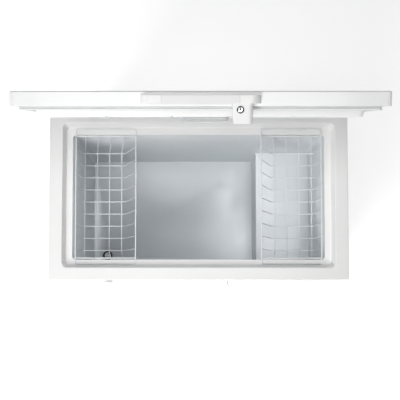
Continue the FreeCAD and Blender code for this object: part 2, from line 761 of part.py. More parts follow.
def cabinet_foam():
    low, step = MACHINE_FLOOR + FIT_GAP, RIM_Z - TRIM_SKIRT
    inset = SHEET + FIT_GAP
    lower = prism(
        inset - HALF_WIDTH,
        HALF_WIDTH - inset,
        FRONT_Y + inset,
        BACK_Y - inset,
        low,
        step,
        CORNER_RADIUS - SHEET,
    )
    inset = TRIM_WALL + FIT_GAP
    upper = prism(
        inset - HALF_WIDTH,
        HALF_WIDTH - inset,
        FRONT_Y + inset,
        BACK_Y - inset,
        step,
        RIM_Z - TRIM_WALL - FIT_GAP,
        CORNER_RADIUS - TRIM_WALL,
    )
    block = lower.fuse(upper)
    cuts = [
        recess_solid(TRIM_WALL + FIT_GAP, LEDGE_Z - TRIM_WALL, RIM_Z),
        liner_block(LINER_SHEET, LEDGE_Z),
        box(MACHINE_LEFT, HALF_WIDTH, FRONT_Y, BACK_Y, 0, MACHINE_TOP),
        Part.makeCylinder(14.0, 90, V(DRAIN_X, DRAIN_Y, DRAIN_OUTLET_Z - 15), Z_DIR),
        Part.makeCylinder(11.5, DRAIN_Y - FRONT_Y, V(DRAIN_X, FRONT_Y, DRAIN_OUTLET_Z), Y_DIR),
    ]
    for points, radius, bend in line_runs().values():
        cuts.extend(channels(points, radius, bend))
    for seat in keeper_screw_seats() + hinge_screw_seats():
        cuts.append(Part.makeCylinder(2.8, 30, seat - Y_DIR * 15, Y_DIR))
    return block.cut(Part.makeCompound(cuts[:1]).multiFuse(cuts[1:]))


# ---- keeper on the cabinet's front ----
def lock_keeper():
    """Plate with a headed stud that the lock cam hooks under."""
    centre_x = KEEPER_X + 3.7
    plate = prism(
        centre_x - 16, centre_x + 16, FRONT_Y - 2, FRONT_Y, KEEPER_Z - 9, KEEPER_Z + 9, 0.9
    )
    holes = [Part.makeCylinder(2.1, 10, s - Y_DIR * 3, Y_DIR) for s in keeper_screw_seats()]
    stud = Part.makeCylinder(3.0, 22, V(KEEPER_X, FRONT_Y - 24, KEEPER_Z), Y_DIR)
    head = Part.makeCylinder(6.2, 4, V(KEEPER_X, FRONT_Y - 27, KEEPER_Z), Y_DIR)
    return fuse_all([plate.cut(holes), stud, head])


def keeper_screws():
    seats = keeper_screw_seats()
    return Part.makeCompound([screw(s, Y_DIR, 3.8, 1.0, 2.0, 12) for s in seats])


# ---- hinges ----
def hinge_bracket(x):
    """Cabinet half: screwed plate with two outer knuckles."""
    plate = prism(x - 40, x + 40, BACK_Y, BACK_Y + 3, RIM_Z - 88, RIM_Z + 9, 1.4)
    knuckles = []
    for side in (-1, 1):
        start = V(x + side * 32 - 8, HINGE_Y, HINGE_Z)
        knuckles.append(rod(start, start + X_DIR * 16, KNUCKLE_RADIUS))
        x0 = x + side * 32 - 8
        knuckles.append(box(x0, x0 + 16, BACK_Y, BACK_Y + 3, RIM_Z, HINGE_Z))
    body = fuse_all([plate] + knuckles)
    bore = rod(V(x - 50, HINGE_Y, HINGE_Z), V(x + 50, HINGE_Y, HINGE_Z), PIN_RADIUS + PIN_GAP)
    holes = [bore]
    for seat in hinge_screw_seats():
        holes.append(Part.makeCylinder(2.6, 8, seat - Y_DIR * 6, Y_DIR))
    return body.cut(holes)


def hinge_bracket_screws():
    seats = hinge_screw_seats()
    return Part.makeCompound([screw(s, Y_DIR * -1, 5.0, 3.0, 2.5, 14) for s in seats])


def hinge_arm_screw_seats():
    seats = []
    for side in (-1, 1):
        for dx in (-15, 15):
            seats.append(V(side * HINGE_X + dx, LID_BACK + 3, LID_BOTTOM + 33))
    return seats


def hinge_arm(x):
    """Lid half, drawn closed: plate on the lid's rear skirt with two inner knuckles."""
    plate = prism(x - 23, x + 23, LID_BACK, LID_BACK + 3, LID_BOTTOM + 8, LID_TOP - 6, 1.4)
    pieces = [plate]
    for side in (-1, 1):
        start = V(x + side * 17.85 - 5.65, HINGE_Y, HINGE_Z)
        pieces.append(rod(start, start + X_DIR * 11.3, KNUCKLE_RADIUS))
        pieces.append(box(start.x, start.x + 11.3, LID_BACK, HINGE_Y, HINGE_Z + 3, HINGE_Z + 8))
    holes = [rod(V(x - 50, HINGE_Y, HINGE_Z), V(x + 50, HINGE_Y, HINGE_Z), PIN_RADIUS)]
    for seat in hinge_arm_screw_seats():
        holes.append(Part.makeCylinder(2.6, 8, seat - Y_DIR * 6, Y_DIR))
    return open_lid(fuse_all(pieces).cut(holes))


def hinge_pin(x):
    """Headed pin: turns with the lid, runs in the bracket."""
    pin = rod(V(x - 41, HINGE_Y, HINGE_Z), V(x + 42, HINGE_Y, HINGE_Z), PIN_RADIUS)
    head = rod(V(x - 43.5, HINGE_Y, HINGE_Z), V(x - 40.5, HINGE_Y, HINGE_Z), PIN_RADIUS + 2.5)
    return pin.fuse(head).removeSplitter()


def hinge_spring(x):
    """Counterbalance torsion coil round the pin, between the lid's knuckles."""
    turns, pitch, wire = 7, 3.0, 1.2
    mean = 6.3
    path = Part.makeHelix(pitch, pitch * turns, mean)
    circle = Part.makeCircle(wire, V(mean, 0, 0), V(0, mean, pitch / (2 * math.pi)))
    coil = Part.Wire(path.Edges).makePipeShell([Part.Wire(circle)], True, True)
    coil.rotate(V(0, 0, 0), Y_DIR, 90)
    coil.translate(V(x - pitch * turns / 2, HINGE_Y, HINGE_Z))
    return coil if coil.ShapeType == "Solid" else Part.Solid(coil)


def hinge_arm_screws():
    seats = hinge_arm_screw_seats()
    screws = [screw(s, Y_DIR * -1, 5.0, 3.0, 2.5, 14) for s in seats]
    return open_lid(Part.makeCompound(screws))


# ---- lid, drawn closed ----
def lid_screw_holes():
    seats = hinge_arm_screw_seats()
    return [Part.makeCylinder(2.6, 16, seat - Y_DIR * 15, Y_DIR) for seat in seats]


def lid_outer_panel():
    outer = prism(-LID_HALF, LID_HALF, LID_FRONT, LID_BACK, LID_BOTTOM, LID_TOP, LID_RADIUS)
    inner = prism(
        SHEET - LID_HALF,
        LID_HALF - SHEET,
        LID_FRONT + SHEET,
        LID_BACK - SHEET,
        LID_BOTTOM - 1,
        LID_TOP - SHEET,
        LID_RADIUS - SHEET,
    )
    top_edges = [e for e in outer.Edges if e.BoundBox.ZMin > LID_TOP - 1e-6]
    outer = outer.makeFillet(5.0, top_edges)
    top_edges = [e for e in inner.Edges if e.BoundBox.ZMin > LID_TOP - SHEET - 1e-6]
    inner = inner.makeFillet(4.0, top_edges)
    return open_lid(outer.cut([inner] + lid_screw_holes()))


def groove_cutters(width, depth, face_z):
    """V grooves that run front to back along the plug's face."""
    cutters = []
    for x in GROOVE_X:
        corners = [V(x - width / 2, 0, face_z), V(x + width / 2, 0, face_z), V(x, 0, face_z + depth)]
        face = Part.Face(Part.makePolygon(corners + corners[:1]))
        face.translate(V(0, FRONT_Y - 20, 0))
        cutters.append(face.extrude(V(0, CABINET_DEPTH + 40, 0)))
    return cutters


def plug_solid(shrink, bottom, top):
    """Tapered plug under the lid, from the lid's lower edge to the plug's face."""
    def ring(z):
        inset = PLUG_TAPER * (LID_BOTTOM - z) / (LID_BOTTOM - PLUG_FACE) + shrink
        return outline(
            inset - PLUG_BASE_X,
            PLUG_BASE_X - inset,
            PLUG_BASE_FRONT + inset,
            PLUG_BASE_BACK - inset,
            z,
            PLUG_RADIUS - shrink,
        )

    return frustum(ring(bottom), ring(top))


def lamp_recess(grow, z0, z1):
    return prism(
        LAMP_X - LAMP_LENGTH / 2 - grow,
        LAMP_X + LAMP_LENGTH / 2 + grow,
        LAMP_Y - LAMP_WIDTH / 2 - grow,
        LAMP_Y + LAMP_WIDTH / 2 + grow,
        z0,
        z1,
        12 + grow,
    )


def lid_liner():
    flange = prism(
        SHEET + FIT_GAP - LID_HALF,
        LID_HALF - SHEET - FIT_GAP,
        LID_FRONT + SHEET + FIT_GAP,
        LID_BACK - SHEET - FIT_GAP,
        LID_BOTTOM,
        LID_BOTTOM + LID_LINER,
        LID_RADIUS - SHEET - FIT_GAP,
    )
    plug = plug_solid(0, PLUG_FACE, LID_BOTTOM).cut(
        groove_cutters(GROOVE_WIDTH, GROOVE_DEPTH, PLUG_FACE)
    )
    inside = plug_solid(LID_LINER, PLUG_FACE + LID_LINER, LID_BOTTOM + 1)
    top = plug_solid(LID_LINER, LID_BOTTOM, LID_BOTTOM + LID_LINER + 1)
    hollow = fuse_all([inside, top]).cut(
        groove_cutters(GROOVE_WIDTH, GROOVE_DEPTH, PLUG_FACE + LID_LINER)
    )
    hole = lamp_recess(0.2, PLUG_FACE - 5, LID_BOTTOM + 5)
    return open_lid(flange.fuse(plug).cut([hollow, hole]).removeSplitter())


def lid_foam():
    inset = SHEET + FIT_GAP
    core = prism(
        inset - LID_HALF,
        LID_HALF - inset,
        LID_FRONT + inset,
        LID_BACK - inset,
        LID_BOTTOM + LID_LINER,
        LID_TOP - inset,
        LID_RADIUS - SHEET,
    )
    top_edges = [e for e in core.Edges if e.BoundBox.ZMin > LID_TOP - inset - 1e-6]
    core = core.makeFillet(4.0, top_edges)
    shrink = LID_LINER + FIT_GAP
    plug = plug_solid(shrink, PLUG_FACE + shrink, LID_BOTTOM + LID_LINER)
    plug = plug.cut(groove_cutters(GROOVE_WIDTH, GROOVE_DEPTH, PLUG_FACE + shrink))
    pocket = lamp_recess(0.2, PLUG_FACE - 5, PLUG_FACE + LAMP_POCKET)
    return open_lid(core.fuse(plug).cut([pocket] + lid_screw_holes()))


def lid_gasket():
    """Bellows seal: foot, narrow web and wide magnetic lip."""
    def ring(inset, width, z0, z1):
        outer = prism(
            inset - GASKET_OUTER_X,
            GASKET_OUTER_X - inset,
            GASKET_FRONT + inset,
            GASKET_BACK - inset,
            z0,
            z1,
            16 - inset,
        )
        far = inset + width
        inner = prism(
            far - GASKET_OUTER_X,
            GASKET_OUTER_X - far,
            GASKET_FRONT + far,
            GASKET_BACK - far,
            z0 - 1,
            z1 + 1,
            4,
        )
        return outer.cut(inner)

    low = RIM_Z + SEAL_GAP
    lip = ring(0, GASKET_WIDTH, low, low + 4.5)
    web = ring(2.5, GASKET_WIDTH - 5, low + 4.5, LID_BOTTOM - 3)
    base = ring(0.5, GASKET_WIDTH - 1, LID_BOTTOM - 3, LID_BOTTOM)
    return open_lid(fuse_all([lip, web, base]))


def bow_outline(half, front, end_radius):
    """Plan of the bow handle: straight front, rounded ends back to the skirt."""
    back = LID_FRONT
    points = [V(-half, back, 0), V(-half + end_radius, front, 0)]
    turn = math.sqrt(0.5) * 0.98
    bulge = V(-half + end_radius * (1 - turn), back + (front - back) * turn, 0)
    left = Part.Arc(points[0], bulge, points[1]).toShape()
    mirror_points = [V(-p.x, p.y, 0) for p in (points[1], bulge, points[0])]
    right = Part.Arc(*mirror_points).toShape()
    front_line = Part.makeLine(points[1], mirror_points[0])
    back_line = Part.makeLine(mirror_points[2], points[0])
    return Part.Wire([left, front_line, right, back_line])


def lid_handle():
    front = LID_FRONT - HANDLE_PROUD
    height = HANDLE_HIGH - HANDLE_LOW
    bow = Part.Face(bow_outline(HANDLE_HALF, front, 34)).extrude(V(0, 0, height))
    gap = Part.Face(bow_outline(HANDLE_HALF - 15, front + HANDLE_BAR, 26)).extrude(V(0, 0, height + 2))
    bow.translate(V(0, 0, HANDLE_LOW))
    gap.translate(V(0, 0, HANDLE_LOW - 1))
    pocket = box(
        -INSERT_HALF - FIT_GAP,
        INSERT_HALF + FIT_GAP,
        front - 1,
        front + INSERT_DEPTH,
        HANDLE_LOW - 1,
        HANDLE_HIGH + 1,
    )
    return open_lid(bow.cut([gap, pocket]))


def handle_grip_insert():
    front = LID_FRONT - HANDLE_PROUD
    strip = box(
        -INSERT_HALF,
        INSERT_HALF,
        front,
        front + INSERT_DEPTH,
        HANDLE_LOW,
        HANDLE_HIGH,
    )
    return open_lid(strip)


def lock_housing():
    """Hollow cover on the lid's front that drops over the keeper."""
    front = LID_FRONT - LOCK_PROUD
    top = HANDLE_LOW
    taper_z, taper_in = 23.0, 4.0
    body = box(LOCK_LEFT, LOCK_RIGHT, front, LOCK_BACK, LOCK_LOW, top)
    big = [e for e in body.Edges if e.BoundBox.YMax < front + 0.1 and e.BoundBox.XMin > LOCK_RIGHT - 0.1]
    big = [e for e in big if e.BoundBox.ZLength > 10]
    body = body.makeFillet(14.0, big)
    upper_back = box(0, 300, LID_FRONT, FRONT_Y, LID_BOTTOM - 0.3, 900)
    wedges = []
    for x, sign in ((LOCK_LEFT, 1), (LOCK_RIGHT, -1)):
        corners = [
            V(x - sign * 5, front - 5, LOCK_LOW - 1),
            V(x + sign * taper_in, front - 5, LOCK_LOW - 1),
            V(x, front - 5, LOCK_LOW + taper_z),
            V(x - sign * 5, front - 5, LOCK_LOW + taper_z),
        ]
        face = Part.Face(Part.makePolygon(corners + corners[:1]))
        wedges.append(face.extrude(V(0, 60, 0)))
    hollow = box(
        LOCK_LEFT + LOCK_WALL + taper_in,
        LOCK_RIGHT - LOCK_WALL - taper_in,
        front + LOCK_WALL,
        LOCK_BACK + 5,
        LOCK_LOW - 5,
        LID_BOTTOM - 4,
    )
    shell = body.cut([upper_back, hollow] + wedges)
    boss_end = CAM_FRONT - 1.5
    boss = rod(V(LOCK_X, front + 1, LOCK_Z), V(LOCK_X, boss_end, LOCK_Z), BARREL_RADIUS + 2)
    bore = rod(V(LOCK_X, front - 5, LOCK_Z), V(LOCK_X, LOCK_BACK, LOCK_Z), BARREL_RADIUS + PIN_GAP)
    return open_lid(fuse_all([shell, boss]).cut(bore))


def lock_cylinder():
    """Key cylinder with its bezel ring, dished face, keyway and cam boss."""
    front = LID_FRONT - LOCK_PROUD
    face_y = front - 2.8
    bezel = Part.makeCylinder(12.0, 2.5, V(LOCK_X, face_y, LOCK_Z), Y_DIR)
    bezel = bezel.makeFillet(1.0, [e for e in bezel.Edges if e.BoundBox.YMax < face_y + 0.1])
    dish = Part.makeCylinder(9.0, 1.2, V(LOCK_X, face_y - 0.2, LOCK_Z), Y_DIR)
    core = Part.makeCylinder(7.0, 3, V(LOCK_X, face_y + 0.3, LOCK_Z), Y_DIR)
    barrel = rod(V(LOCK_X, face_y + 1, LOCK_Z), V(LOCK_X, CAM_FRONT, LOCK_Z), BARREL_RADIUS)
    post = rod(V(LOCK_X, CAM_FRONT - 1, LOCK_Z), V(LOCK_X, CAM_FRONT + CAM_THICK - 0.3, LOCK_Z), 3.5)
    keyway = box(LOCK_X - 0.8, LOCK_X + 0.8, face_y - 1, face_y + 9, LOCK_Z - 4, LOCK_Z + 4)
    whole = fuse_all([bezel.cut(dish), core, barrel, post]).cut(keyway)
    return open_lid(whole)


def lock_cam():
    """Hooked cam, shown unlocked: arm to +X, hook pointing down."""
    hub = rod(V(LOCK_X, CAM_FRONT, LOCK_Z), V(LOCK_X, CAM_FRONT + CAM_THICK, LOCK_Z), 7.0)
    back = CAM_FRONT + CAM_THICK
    arm = box(LOCK_X, LOCK_X + CAM_REACH, CAM_FRONT, back, LOCK_Z - 4, LOCK_Z + 4)
    hook = box(LOCK_X + CAM_REACH - 6, LOCK_X + CAM_REACH, CAM_FRONT, back, LOCK_Z - 14, LOCK_Z)
    bore = rod(V(LOCK_X, CAM_FRONT - 1, LOCK_Z), V(LOCK_X, CAM_FRONT + 9, LOCK_Z), 3.5)
    return open_lid(fuse_all([hub, arm, hook]).cut(bore))


def cam_screw():
    seat = V(LOCK_X, CAM_FRONT + CAM_THICK, LOCK_Z)
    return open_lid(screw(seat, Y_DIR * -1, 5.0, 2.4, 1.5, 0.1))


def lamp_lens():
    """Ribbed translucent cover that stands proud of the plug's face."""
    low = PLUG_FACE - LAMP_PROUD
    high = PLUG_FACE + LID_LINER
    outer = lamp_recess(0, low, high)
    outer = outer.makeFillet(5.0, [e for e in outer.Edges if e.BoundBox.ZMax < low + 0.1])
    inner = lamp_recess(-2, low + 2, high + 1)
    ribs = []
    for step in range(-6, 7):
        x = LAMP_X + 10.5 * step
        ribs.append(box(x - 1, x + 1, LAMP_Y - 26, LAMP_Y + 26, low - 1, low + 0.8))
    return open_lid(outer.cut([inner] + ribs))


def lamp_socket():
    x = LAMP_X - 62
    z = PLUG_FACE + 8
    body = box(x, x + 26, LAMP_Y - 18, LAMP_Y + 18, z - 12, PLUG_FACE + LAMP_POCKET)
    bore = rod(V(x + 8, LAMP_Y, z), V(x + 40, LAMP_Y, z), 9.6)
    return open_lid(body.cut(bore))


def lamp_bulb():
    x = LAMP_X - 54
    z = PLUG_FACE + 8
    base = rod(V(x, LAMP_Y, z), V(x + 22, LAMP_Y, z), 9.2)
    glass = rod(V(x + 20, LAMP_Y, z), V(x + 76, LAMP_Y, z), 11.0)
    glass = glass.makeFillet(10.0, [e for e in glass.Edges if abs(e.CenterOfMass.x - x - 76) < 0.1])
    return open_lid(fuse_all([base, glass]))


# ---- baskets, drawn at the left ----
def basket_frame():
    """Hanger loop that rests on both ledges, and the two end rods under it."""
    radius = 8.0
    x0, x1 = -BASKET_OUTER_X, -BASKET_INNER_X
    loop_path = outline(x0, x1, HANGER_FRONT, HANGER_BACK, HANGER_Z, radius)
    start = loop_path.Vertexes[0].Point
    direction = loop_path.Edges[0].tangentAt(loop_path.Edges[0].FirstParameter)
    circle = Part.makeCircle(ROD_RADIUS, start, direction)
    loop = loop_path.makePipeShell([Part.Wire(circle)], True, False)
    ends = []
    z = HANGER_Z - 2 * ROD_RADIUS - WELD_GAP
    for y in (END_FRONT, END_BACK):
        ends.append(rod(V(x0 - 2, y, z), V(x1 + 2, y, z), ROD_RADIUS))
    solid = loop if loop.ShapeType == "Solid" else Part.Solid(loop)
    return Part.makeCompound([solid] + ends)


def basket_wires():
    """Nine cross wires and four long wires, each bent up at both ends."""
    wires = []
    hook_z = HANGER_Z - ROD_RADIUS - WIRE_RADIUS - WELD_GAP
    floor_z = HANGER_Z - BASKET_DEPTH
    for count in range(CROSS_WIRES):
        y = CROSS_CENTRE + CROSS_PITCH * (count - (CROSS_WIRES - 1) / 2)
        path = [
            V(-BASKET_OUTER_X, y, hook_z + WIRE_RADIUS),
            V(-BASKET_FLOOR_OUTER_X, y, floor_z),
            V(-BASKET_FLOOR_INNER_X, y, floor_z),
            V(-BASKET_INNER_X, y, hook_z + WIRE_RADIUS),
        ]
        wires.append(tube(path, WIRE_RADIUS, 18.0))
    low_z = floor_z - 2 * WIRE_RADIUS - WELD_GAP
    end_z = HANGER_Z - 3 * ROD_RADIUS - 2 * WELD_GAP
    for count in range(LONG_WIRES):
        x = -LONG_FIRST_X + LONG_PITCH * count
        path = [
            V(x + LONG_LEAN, END_FRONT, end_z),
            V(x, BASKET_FLOOR_FRONT, low_z),
            V(x, BASKET_FLOOR_BACK, low_z),
            V(x + LONG_LEAN, END_BACK, end_z),
        ]
        wires.append(tube(path, WIRE_RADIUS, 18.0))
    return Part.makeCompound(wires)


# ---- all sub-parts ----
def fixed_nodes():
    """Nodes of the cabinet body."""
    nodes = {
        "cabinet_wrapper": cabinet_wrapper(),
        "back_panel": back_panel(),
        "base_pan": base_pan(),
        "inner_liner": inner_liner(),
        "cabinet_foam": cabinet_foam(),
        "top_trim": top_trim(),
        "compressor_base_plate": compressor_base_plate(),
        "compressor": compressor(),
        "compressor_grommets": compressor_grommets(),
        "compressor_relay": compressor_relay(),
        "filter_drier": filter_drier(),
        "rear_access_cover": rear_access_cover(),
        "access_cover_screws": access_cover_screws(),
        "power_cord_gland": power_cord_gland(),
        "thermostat_body": thermostat_body(),
        "control_bezel": control_bezel(),
        "power_light_lens": power_light_lens(),
        "drain_cup": drain_cup(),
        "drain_outlet": drain_outlet(),
        "lock_keeper": lock_keeper(),
        "keeper_screws": keeper_screws(),
        "hinge_bracket_screws": hinge_bracket_screws(),
    }
    for name, (points, radius, bend) in line_runs().items():
        nodes[name] = tube(points, radius, bend)
    for side, x in (("left", -HINGE_X), ("right", HINGE_X)):
        nodes[side + "_hinge_bracket"] = hinge_bracket(x)
        nodes[side + "_hinge_spring"] = hinge_spring(x)
        nodes["front_" + side + "_foot"] = foot(math.copysign(FOOT_X, x), FRONT_Y + 48)
        nodes["back_" + side + "_foot"] = foot(math.copysign(FOOT_X, x), BACK_Y - 48)
    return nodes


def lid_nodes():
    """Nodes that swing with the lid."""
    nodes = {
        "lid_outer_panel": lid_outer_panel(),
        "lid_foam": lid_foam(),
        "lid_liner": lid_liner(),
        "lid_gasket": lid_gasket(),
        "lid_handle": lid_handle(),
        "handle_grip_insert": handle_grip_insert(),
        "lock_housing": lock_housing(),
        "lamp_lens": lamp_lens(),
        "lamp_bulb": lamp_bulb(),
        "lamp_socket": lamp_socket(),
        "hinge_arm_screws": hinge_arm_screws(),
    }
    for side, x in (("left", -HINGE_X), ("right", HINGE_X)):
        nodes[side + "_hinge_arm"] = hinge_arm(x)
        nodes[side + "_hinge_pin"] = hinge_pin(x)
    return nodes


def loose_nodes():
    """Nodes with a motion of their own."""
    frame, wires = basket_frame(), basket_wires()
    return {
        "lock_cylinder": lock_cylinder(),
        "lock_cam": lock_cam(),
        "cam_screw": cam_screw(),
        "left_basket_frame": frame,
        "left_basket_wires": wires,
        "right_basket_frame": mirrored(frame),
        "right_basket_wires": mirrored(wires),
        "thermostat_knob": thermostat_knob(),
        "drain_plug": drain_plug(),
        "drain_cap": drain_cap(),
    }


def export_all():
    os.makedirs("parts", exist_ok=True)
    nodes = {**fixed_nodes(), **lid_nodes(), **loose_nodes()}
    for name, shape in nodes.items():
        volume = sum(solid.Volume for solid in shape.Solids)
        state = "ok" if shape.isValid() and volume > 0 else "NOT VALID"
        print(f"{name:26s} {len(shape.Solids):3d} solids {volume / 1000:12.1f} cm3 {state}")
        shape.exportStep(os.path.join("parts", name + ".step"))


export_all()
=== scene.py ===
"""Looks of the chest freezer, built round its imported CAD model. Metres, +Y to the back, +Z up."""
import json
import math

import bmesh
import bpy
from mathutils import Matrix, Vector

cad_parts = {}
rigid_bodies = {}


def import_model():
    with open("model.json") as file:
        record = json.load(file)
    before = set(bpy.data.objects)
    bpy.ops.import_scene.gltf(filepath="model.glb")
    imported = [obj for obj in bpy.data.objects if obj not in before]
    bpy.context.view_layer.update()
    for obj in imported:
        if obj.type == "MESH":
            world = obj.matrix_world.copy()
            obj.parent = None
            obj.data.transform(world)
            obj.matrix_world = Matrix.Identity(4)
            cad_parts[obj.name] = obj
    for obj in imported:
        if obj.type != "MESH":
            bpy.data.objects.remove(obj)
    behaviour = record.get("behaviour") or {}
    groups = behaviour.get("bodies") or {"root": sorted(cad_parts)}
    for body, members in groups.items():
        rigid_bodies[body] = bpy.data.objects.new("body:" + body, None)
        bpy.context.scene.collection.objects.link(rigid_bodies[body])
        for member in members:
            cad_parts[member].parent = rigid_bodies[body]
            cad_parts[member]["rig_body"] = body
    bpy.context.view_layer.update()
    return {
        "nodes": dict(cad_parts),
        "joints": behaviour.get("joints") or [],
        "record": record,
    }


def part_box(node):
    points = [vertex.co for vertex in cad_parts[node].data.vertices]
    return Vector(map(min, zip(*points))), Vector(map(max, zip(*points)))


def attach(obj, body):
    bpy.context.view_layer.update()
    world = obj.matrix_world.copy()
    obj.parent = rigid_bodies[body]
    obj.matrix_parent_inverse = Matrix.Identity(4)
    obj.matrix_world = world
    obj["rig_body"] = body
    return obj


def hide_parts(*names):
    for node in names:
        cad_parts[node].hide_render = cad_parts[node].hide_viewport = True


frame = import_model()

NODES = frame["nodes"]
SCENE = bpy.context.scene

# ---- the lid's hinge: parts of the lid are laid out closed and then turned open ----
lid_joint = next(j for j in frame["joints"] if j["name"] == "lid_hinge")
HINGE = Vector(lid_joint["pos_m"])
LID_ANGLE = math.radians(lid_joint["range_deg"][0])
OPENING = (
    Matrix.Translation(HINGE)
    @ Matrix.Rotation(-LID_ANGLE, 4, Vector(lid_joint["axis"]))
    @ Matrix.Translation(-HINGE)
)
CLOSING = OPENING.inverted()


def closed_box(node):
    """Corners of a lid node's box with the lid shut."""
    shut = [CLOSING @ v.co for v in NODES[node].data.vertices]
    low = Vector([min(p[i] for p in shut) for i in range(3)])
    high = Vector([max(p[i] for p in shut) for i in range(3)])
    return low, high


# ---- shader graphs ----
class Graph:
    """A material's node tree, with one short call for each kind of node."""

    def __init__(self, name):
        self.material = bpy.data.materials.new(name)
        self.material.use_nodes = True
        self.tree = self.material.node_tree
        self.tree.nodes.clear()
        self.shader = self.add("ShaderNodeBsdfPrincipled")
        out = self.add("ShaderNodeOutputMaterial")
        self.tree.links.new(self.shader.outputs[0], out.inputs[0])
        self.place = self.add("ShaderNodeTexCoord").outputs["Object"]

    def add(self, kind, **settings):
        node = self.tree.nodes.new(kind)
        for key, value in settings.items():
            setattr(node, key, value)
        return node

    def put(self, socket, value):
        if isinstance(value, bpy.types.NodeSocket):
            self.tree.links.new(value, socket)
        else:
            socket.default_value = value

    def noise(self, scale, detail=3.0, rough=0.5):
        node = self.add("ShaderNodeTexNoise")
        self.put(node.inputs["Vector"], self.place)
        node.inputs["Scale"].default_value = scale
        node.inputs["Detail"].default_value = detail
        node.inputs["Roughness"].default_value = rough
        return node.outputs["Fac"]

    def cells(self, scale, feature="F1", output="Distance"):
        node = self.add("ShaderNodeTexVoronoi", feature=feature)
        self.put(node.inputs["Vector"], self.place)
        node.inputs["Scale"].default_value = scale
        return node.outputs[output]

    def span(self, value, low, high, to_low=0.0, to_high=1.0):
        node = self.add("ShaderNodeMapRange")
        for key, number in (("Value", value), ("From Min", low), ("From Max", high)):
            self.put(node.inputs[key], number)
        node.inputs["To Min"].default_value = to_low
        node.inputs["To Max"].default_value = to_high
        return node.outputs[0]

    def math(self, operation, a, b):
        node = self.add("ShaderNodeMath", operation=operation)
        self.put(node.inputs[0], a)
        self.put(node.inputs[1], b)
        return node.outputs[0]

    def mix(self, share, a, b):
        node = self.add("ShaderNodeMix", data_type="RGBA")
        self.put(node.inputs["Factor"], share)
        self.put(node.inputs["A"], a)
        self.put(node.inputs["B"], b)
        return node.outputs["Result"]

    def bump(self, height, depth, under=None):
        node = self.add("ShaderNodeBump")
        node.inputs["Distance"].default_value = depth
        self.put(node.inputs["Height"], height)
        if under is not None:
            self.put(node.inputs["Normal"], under)
        return node.outputs[0]

    def crevices(self, reach):
        """1 in the open, towards 0 in gaps and corners."""
        node = self.add("ShaderNodeAmbientOcclusion", samples=4)
        node.inputs["Distance"].default_value = reach
        return node.outputs["AO"]

    def edges(self, reach):
        """0 on flats, rising towards outer and inner edges."""
        soft = self.add("ShaderNodeBevel", samples=4)
        soft.inputs["Radius"].default_value = reach
        turn = self.add("ShaderNodeVectorMath", operation="DOT_PRODUCT")
        self.put(turn.inputs[0], soft.outputs[0])
        self.put(turn.inputs[1], self.add("ShaderNodeNewGeometry").outputs["Normal"])
        return self.math("SUBTRACT", 1.0, turn.outputs["Value"])


def rgb(*channels):
    return (*channels, 1.0)


def shade(colour, factor):
    return rgb(*[min(1.0, c * factor) for c in colour[:3]])


WHITE = rgb(0.83, 0.835, 0.835)
LINER = rgb(0.735, 0.765, 0.785)
# how far (m) the painted shade and soiling in gaps reach
SHADE_AND_SOILING_REACH = 0.012
# how far (m) the painted shade in the liner's corners reaches
LINER_SHADE_REACH = 0.05
STUCCO_DEPTH = 0.00025


def surface(name, colour, rough, metallic=0.0, mottle=(3.0, 0.03), grain=(900.0, 0.00005),
            shade_and_soiling=0.25, worn=None, coat=0.0):
    """A finish with slow colour change, uneven gloss, fine texture, painted shade and patchy soiling in gaps,
    and rubbed edges.

    mottle is the scale and strength of the colour change, grain the scale and depth (m) of the texture,
    shade_and_soiling how dark the painted shade and soiling in gaps get, and worn the colour under rubbed
    edges and how far (m) the wear reaches.
    """
    g = Graph(name)
    broad = g.noise(mottle[0], detail=4.0)
    fine = g.noise(grain[0], detail=2.0)
    patchy = g.span(broad, 0.35, 0.65)
    tint = g.mix(patchy, shade(colour, 1 - mottle[1]), shade(colour, 1 + mottle[1]))
    # painted shade: the colour darkens in gaps and corners where shade falls, and noise breaks it up into
    # patchy soiling
    if shade_and_soiling:
        painted_gap_shade = g.math("MULTIPLY", g.span(g.crevices(SHADE_AND_SOILING_REACH), 0.75, 0.2), shade_and_soiling)
        patchy_shade_and_soiling = g.math("MULTIPLY", painted_gap_shade, g.span(g.noise(40.0), 0.3, 0.7))
        tint = g.mix(patchy_shade_and_soiling, tint, shade(colour, 0.45))
    if worn:
        bare, reach = worn
        rubbed = g.span(g.edges(reach), 0.06, 0.30)
        broken = g.math("MULTIPLY", rubbed, g.span(g.noise(160.0), 0.45, 0.6))
        tint = g.mix(broken, tint, bare)
    g.put(g.shader.inputs["Base Color"], tint)
    smears = g.noise(14.0, detail=5.0, rough=0.6)
    g.put(g.shader.inputs["Roughness"], g.span(smears, 0.3, 0.7, rough * 0.92, rough * 1.08))
    g.put(g.shader.inputs["Normal"], g.bump(fine, grain[1]))
    g.shader.inputs["Metallic"].default_value = metallic
    g.shader.inputs["Coat Weight"].default_value = coat
    return g.material


def galvanised(name):
    """Zinc-coated sheet: flat spangles of slightly different grey."""
    g = Graph(name)
    spangle = g.cells(90.0, output="Color")
    grey = g.add("ShaderNodeSeparateColor")
    g.put(grey.inputs[0], spangle)
    level = g.mix(grey.outputs[0], rgb(0.50, 0.52, 0.54), rgb(0.60, 0.62, 0.64))
    stain = g.span(g.noise(5.0, detail=5.0), 0.5, 0.75)
    g.put(g.shader.inputs["Base Color"], g.mix(stain, level, rgb(0.5, 0.5, 0.48)))
    g.put(g.shader.inputs["Roughness"], g.span(grey.outputs[1], 0.0, 1.0, 0.42, 0.55))
    g.put(g.shader.inputs["Normal"], g.bump(grey.outputs[2], 0.00001))
    g.shader.inputs["Metallic"].default_value = 0.85
    return g.material


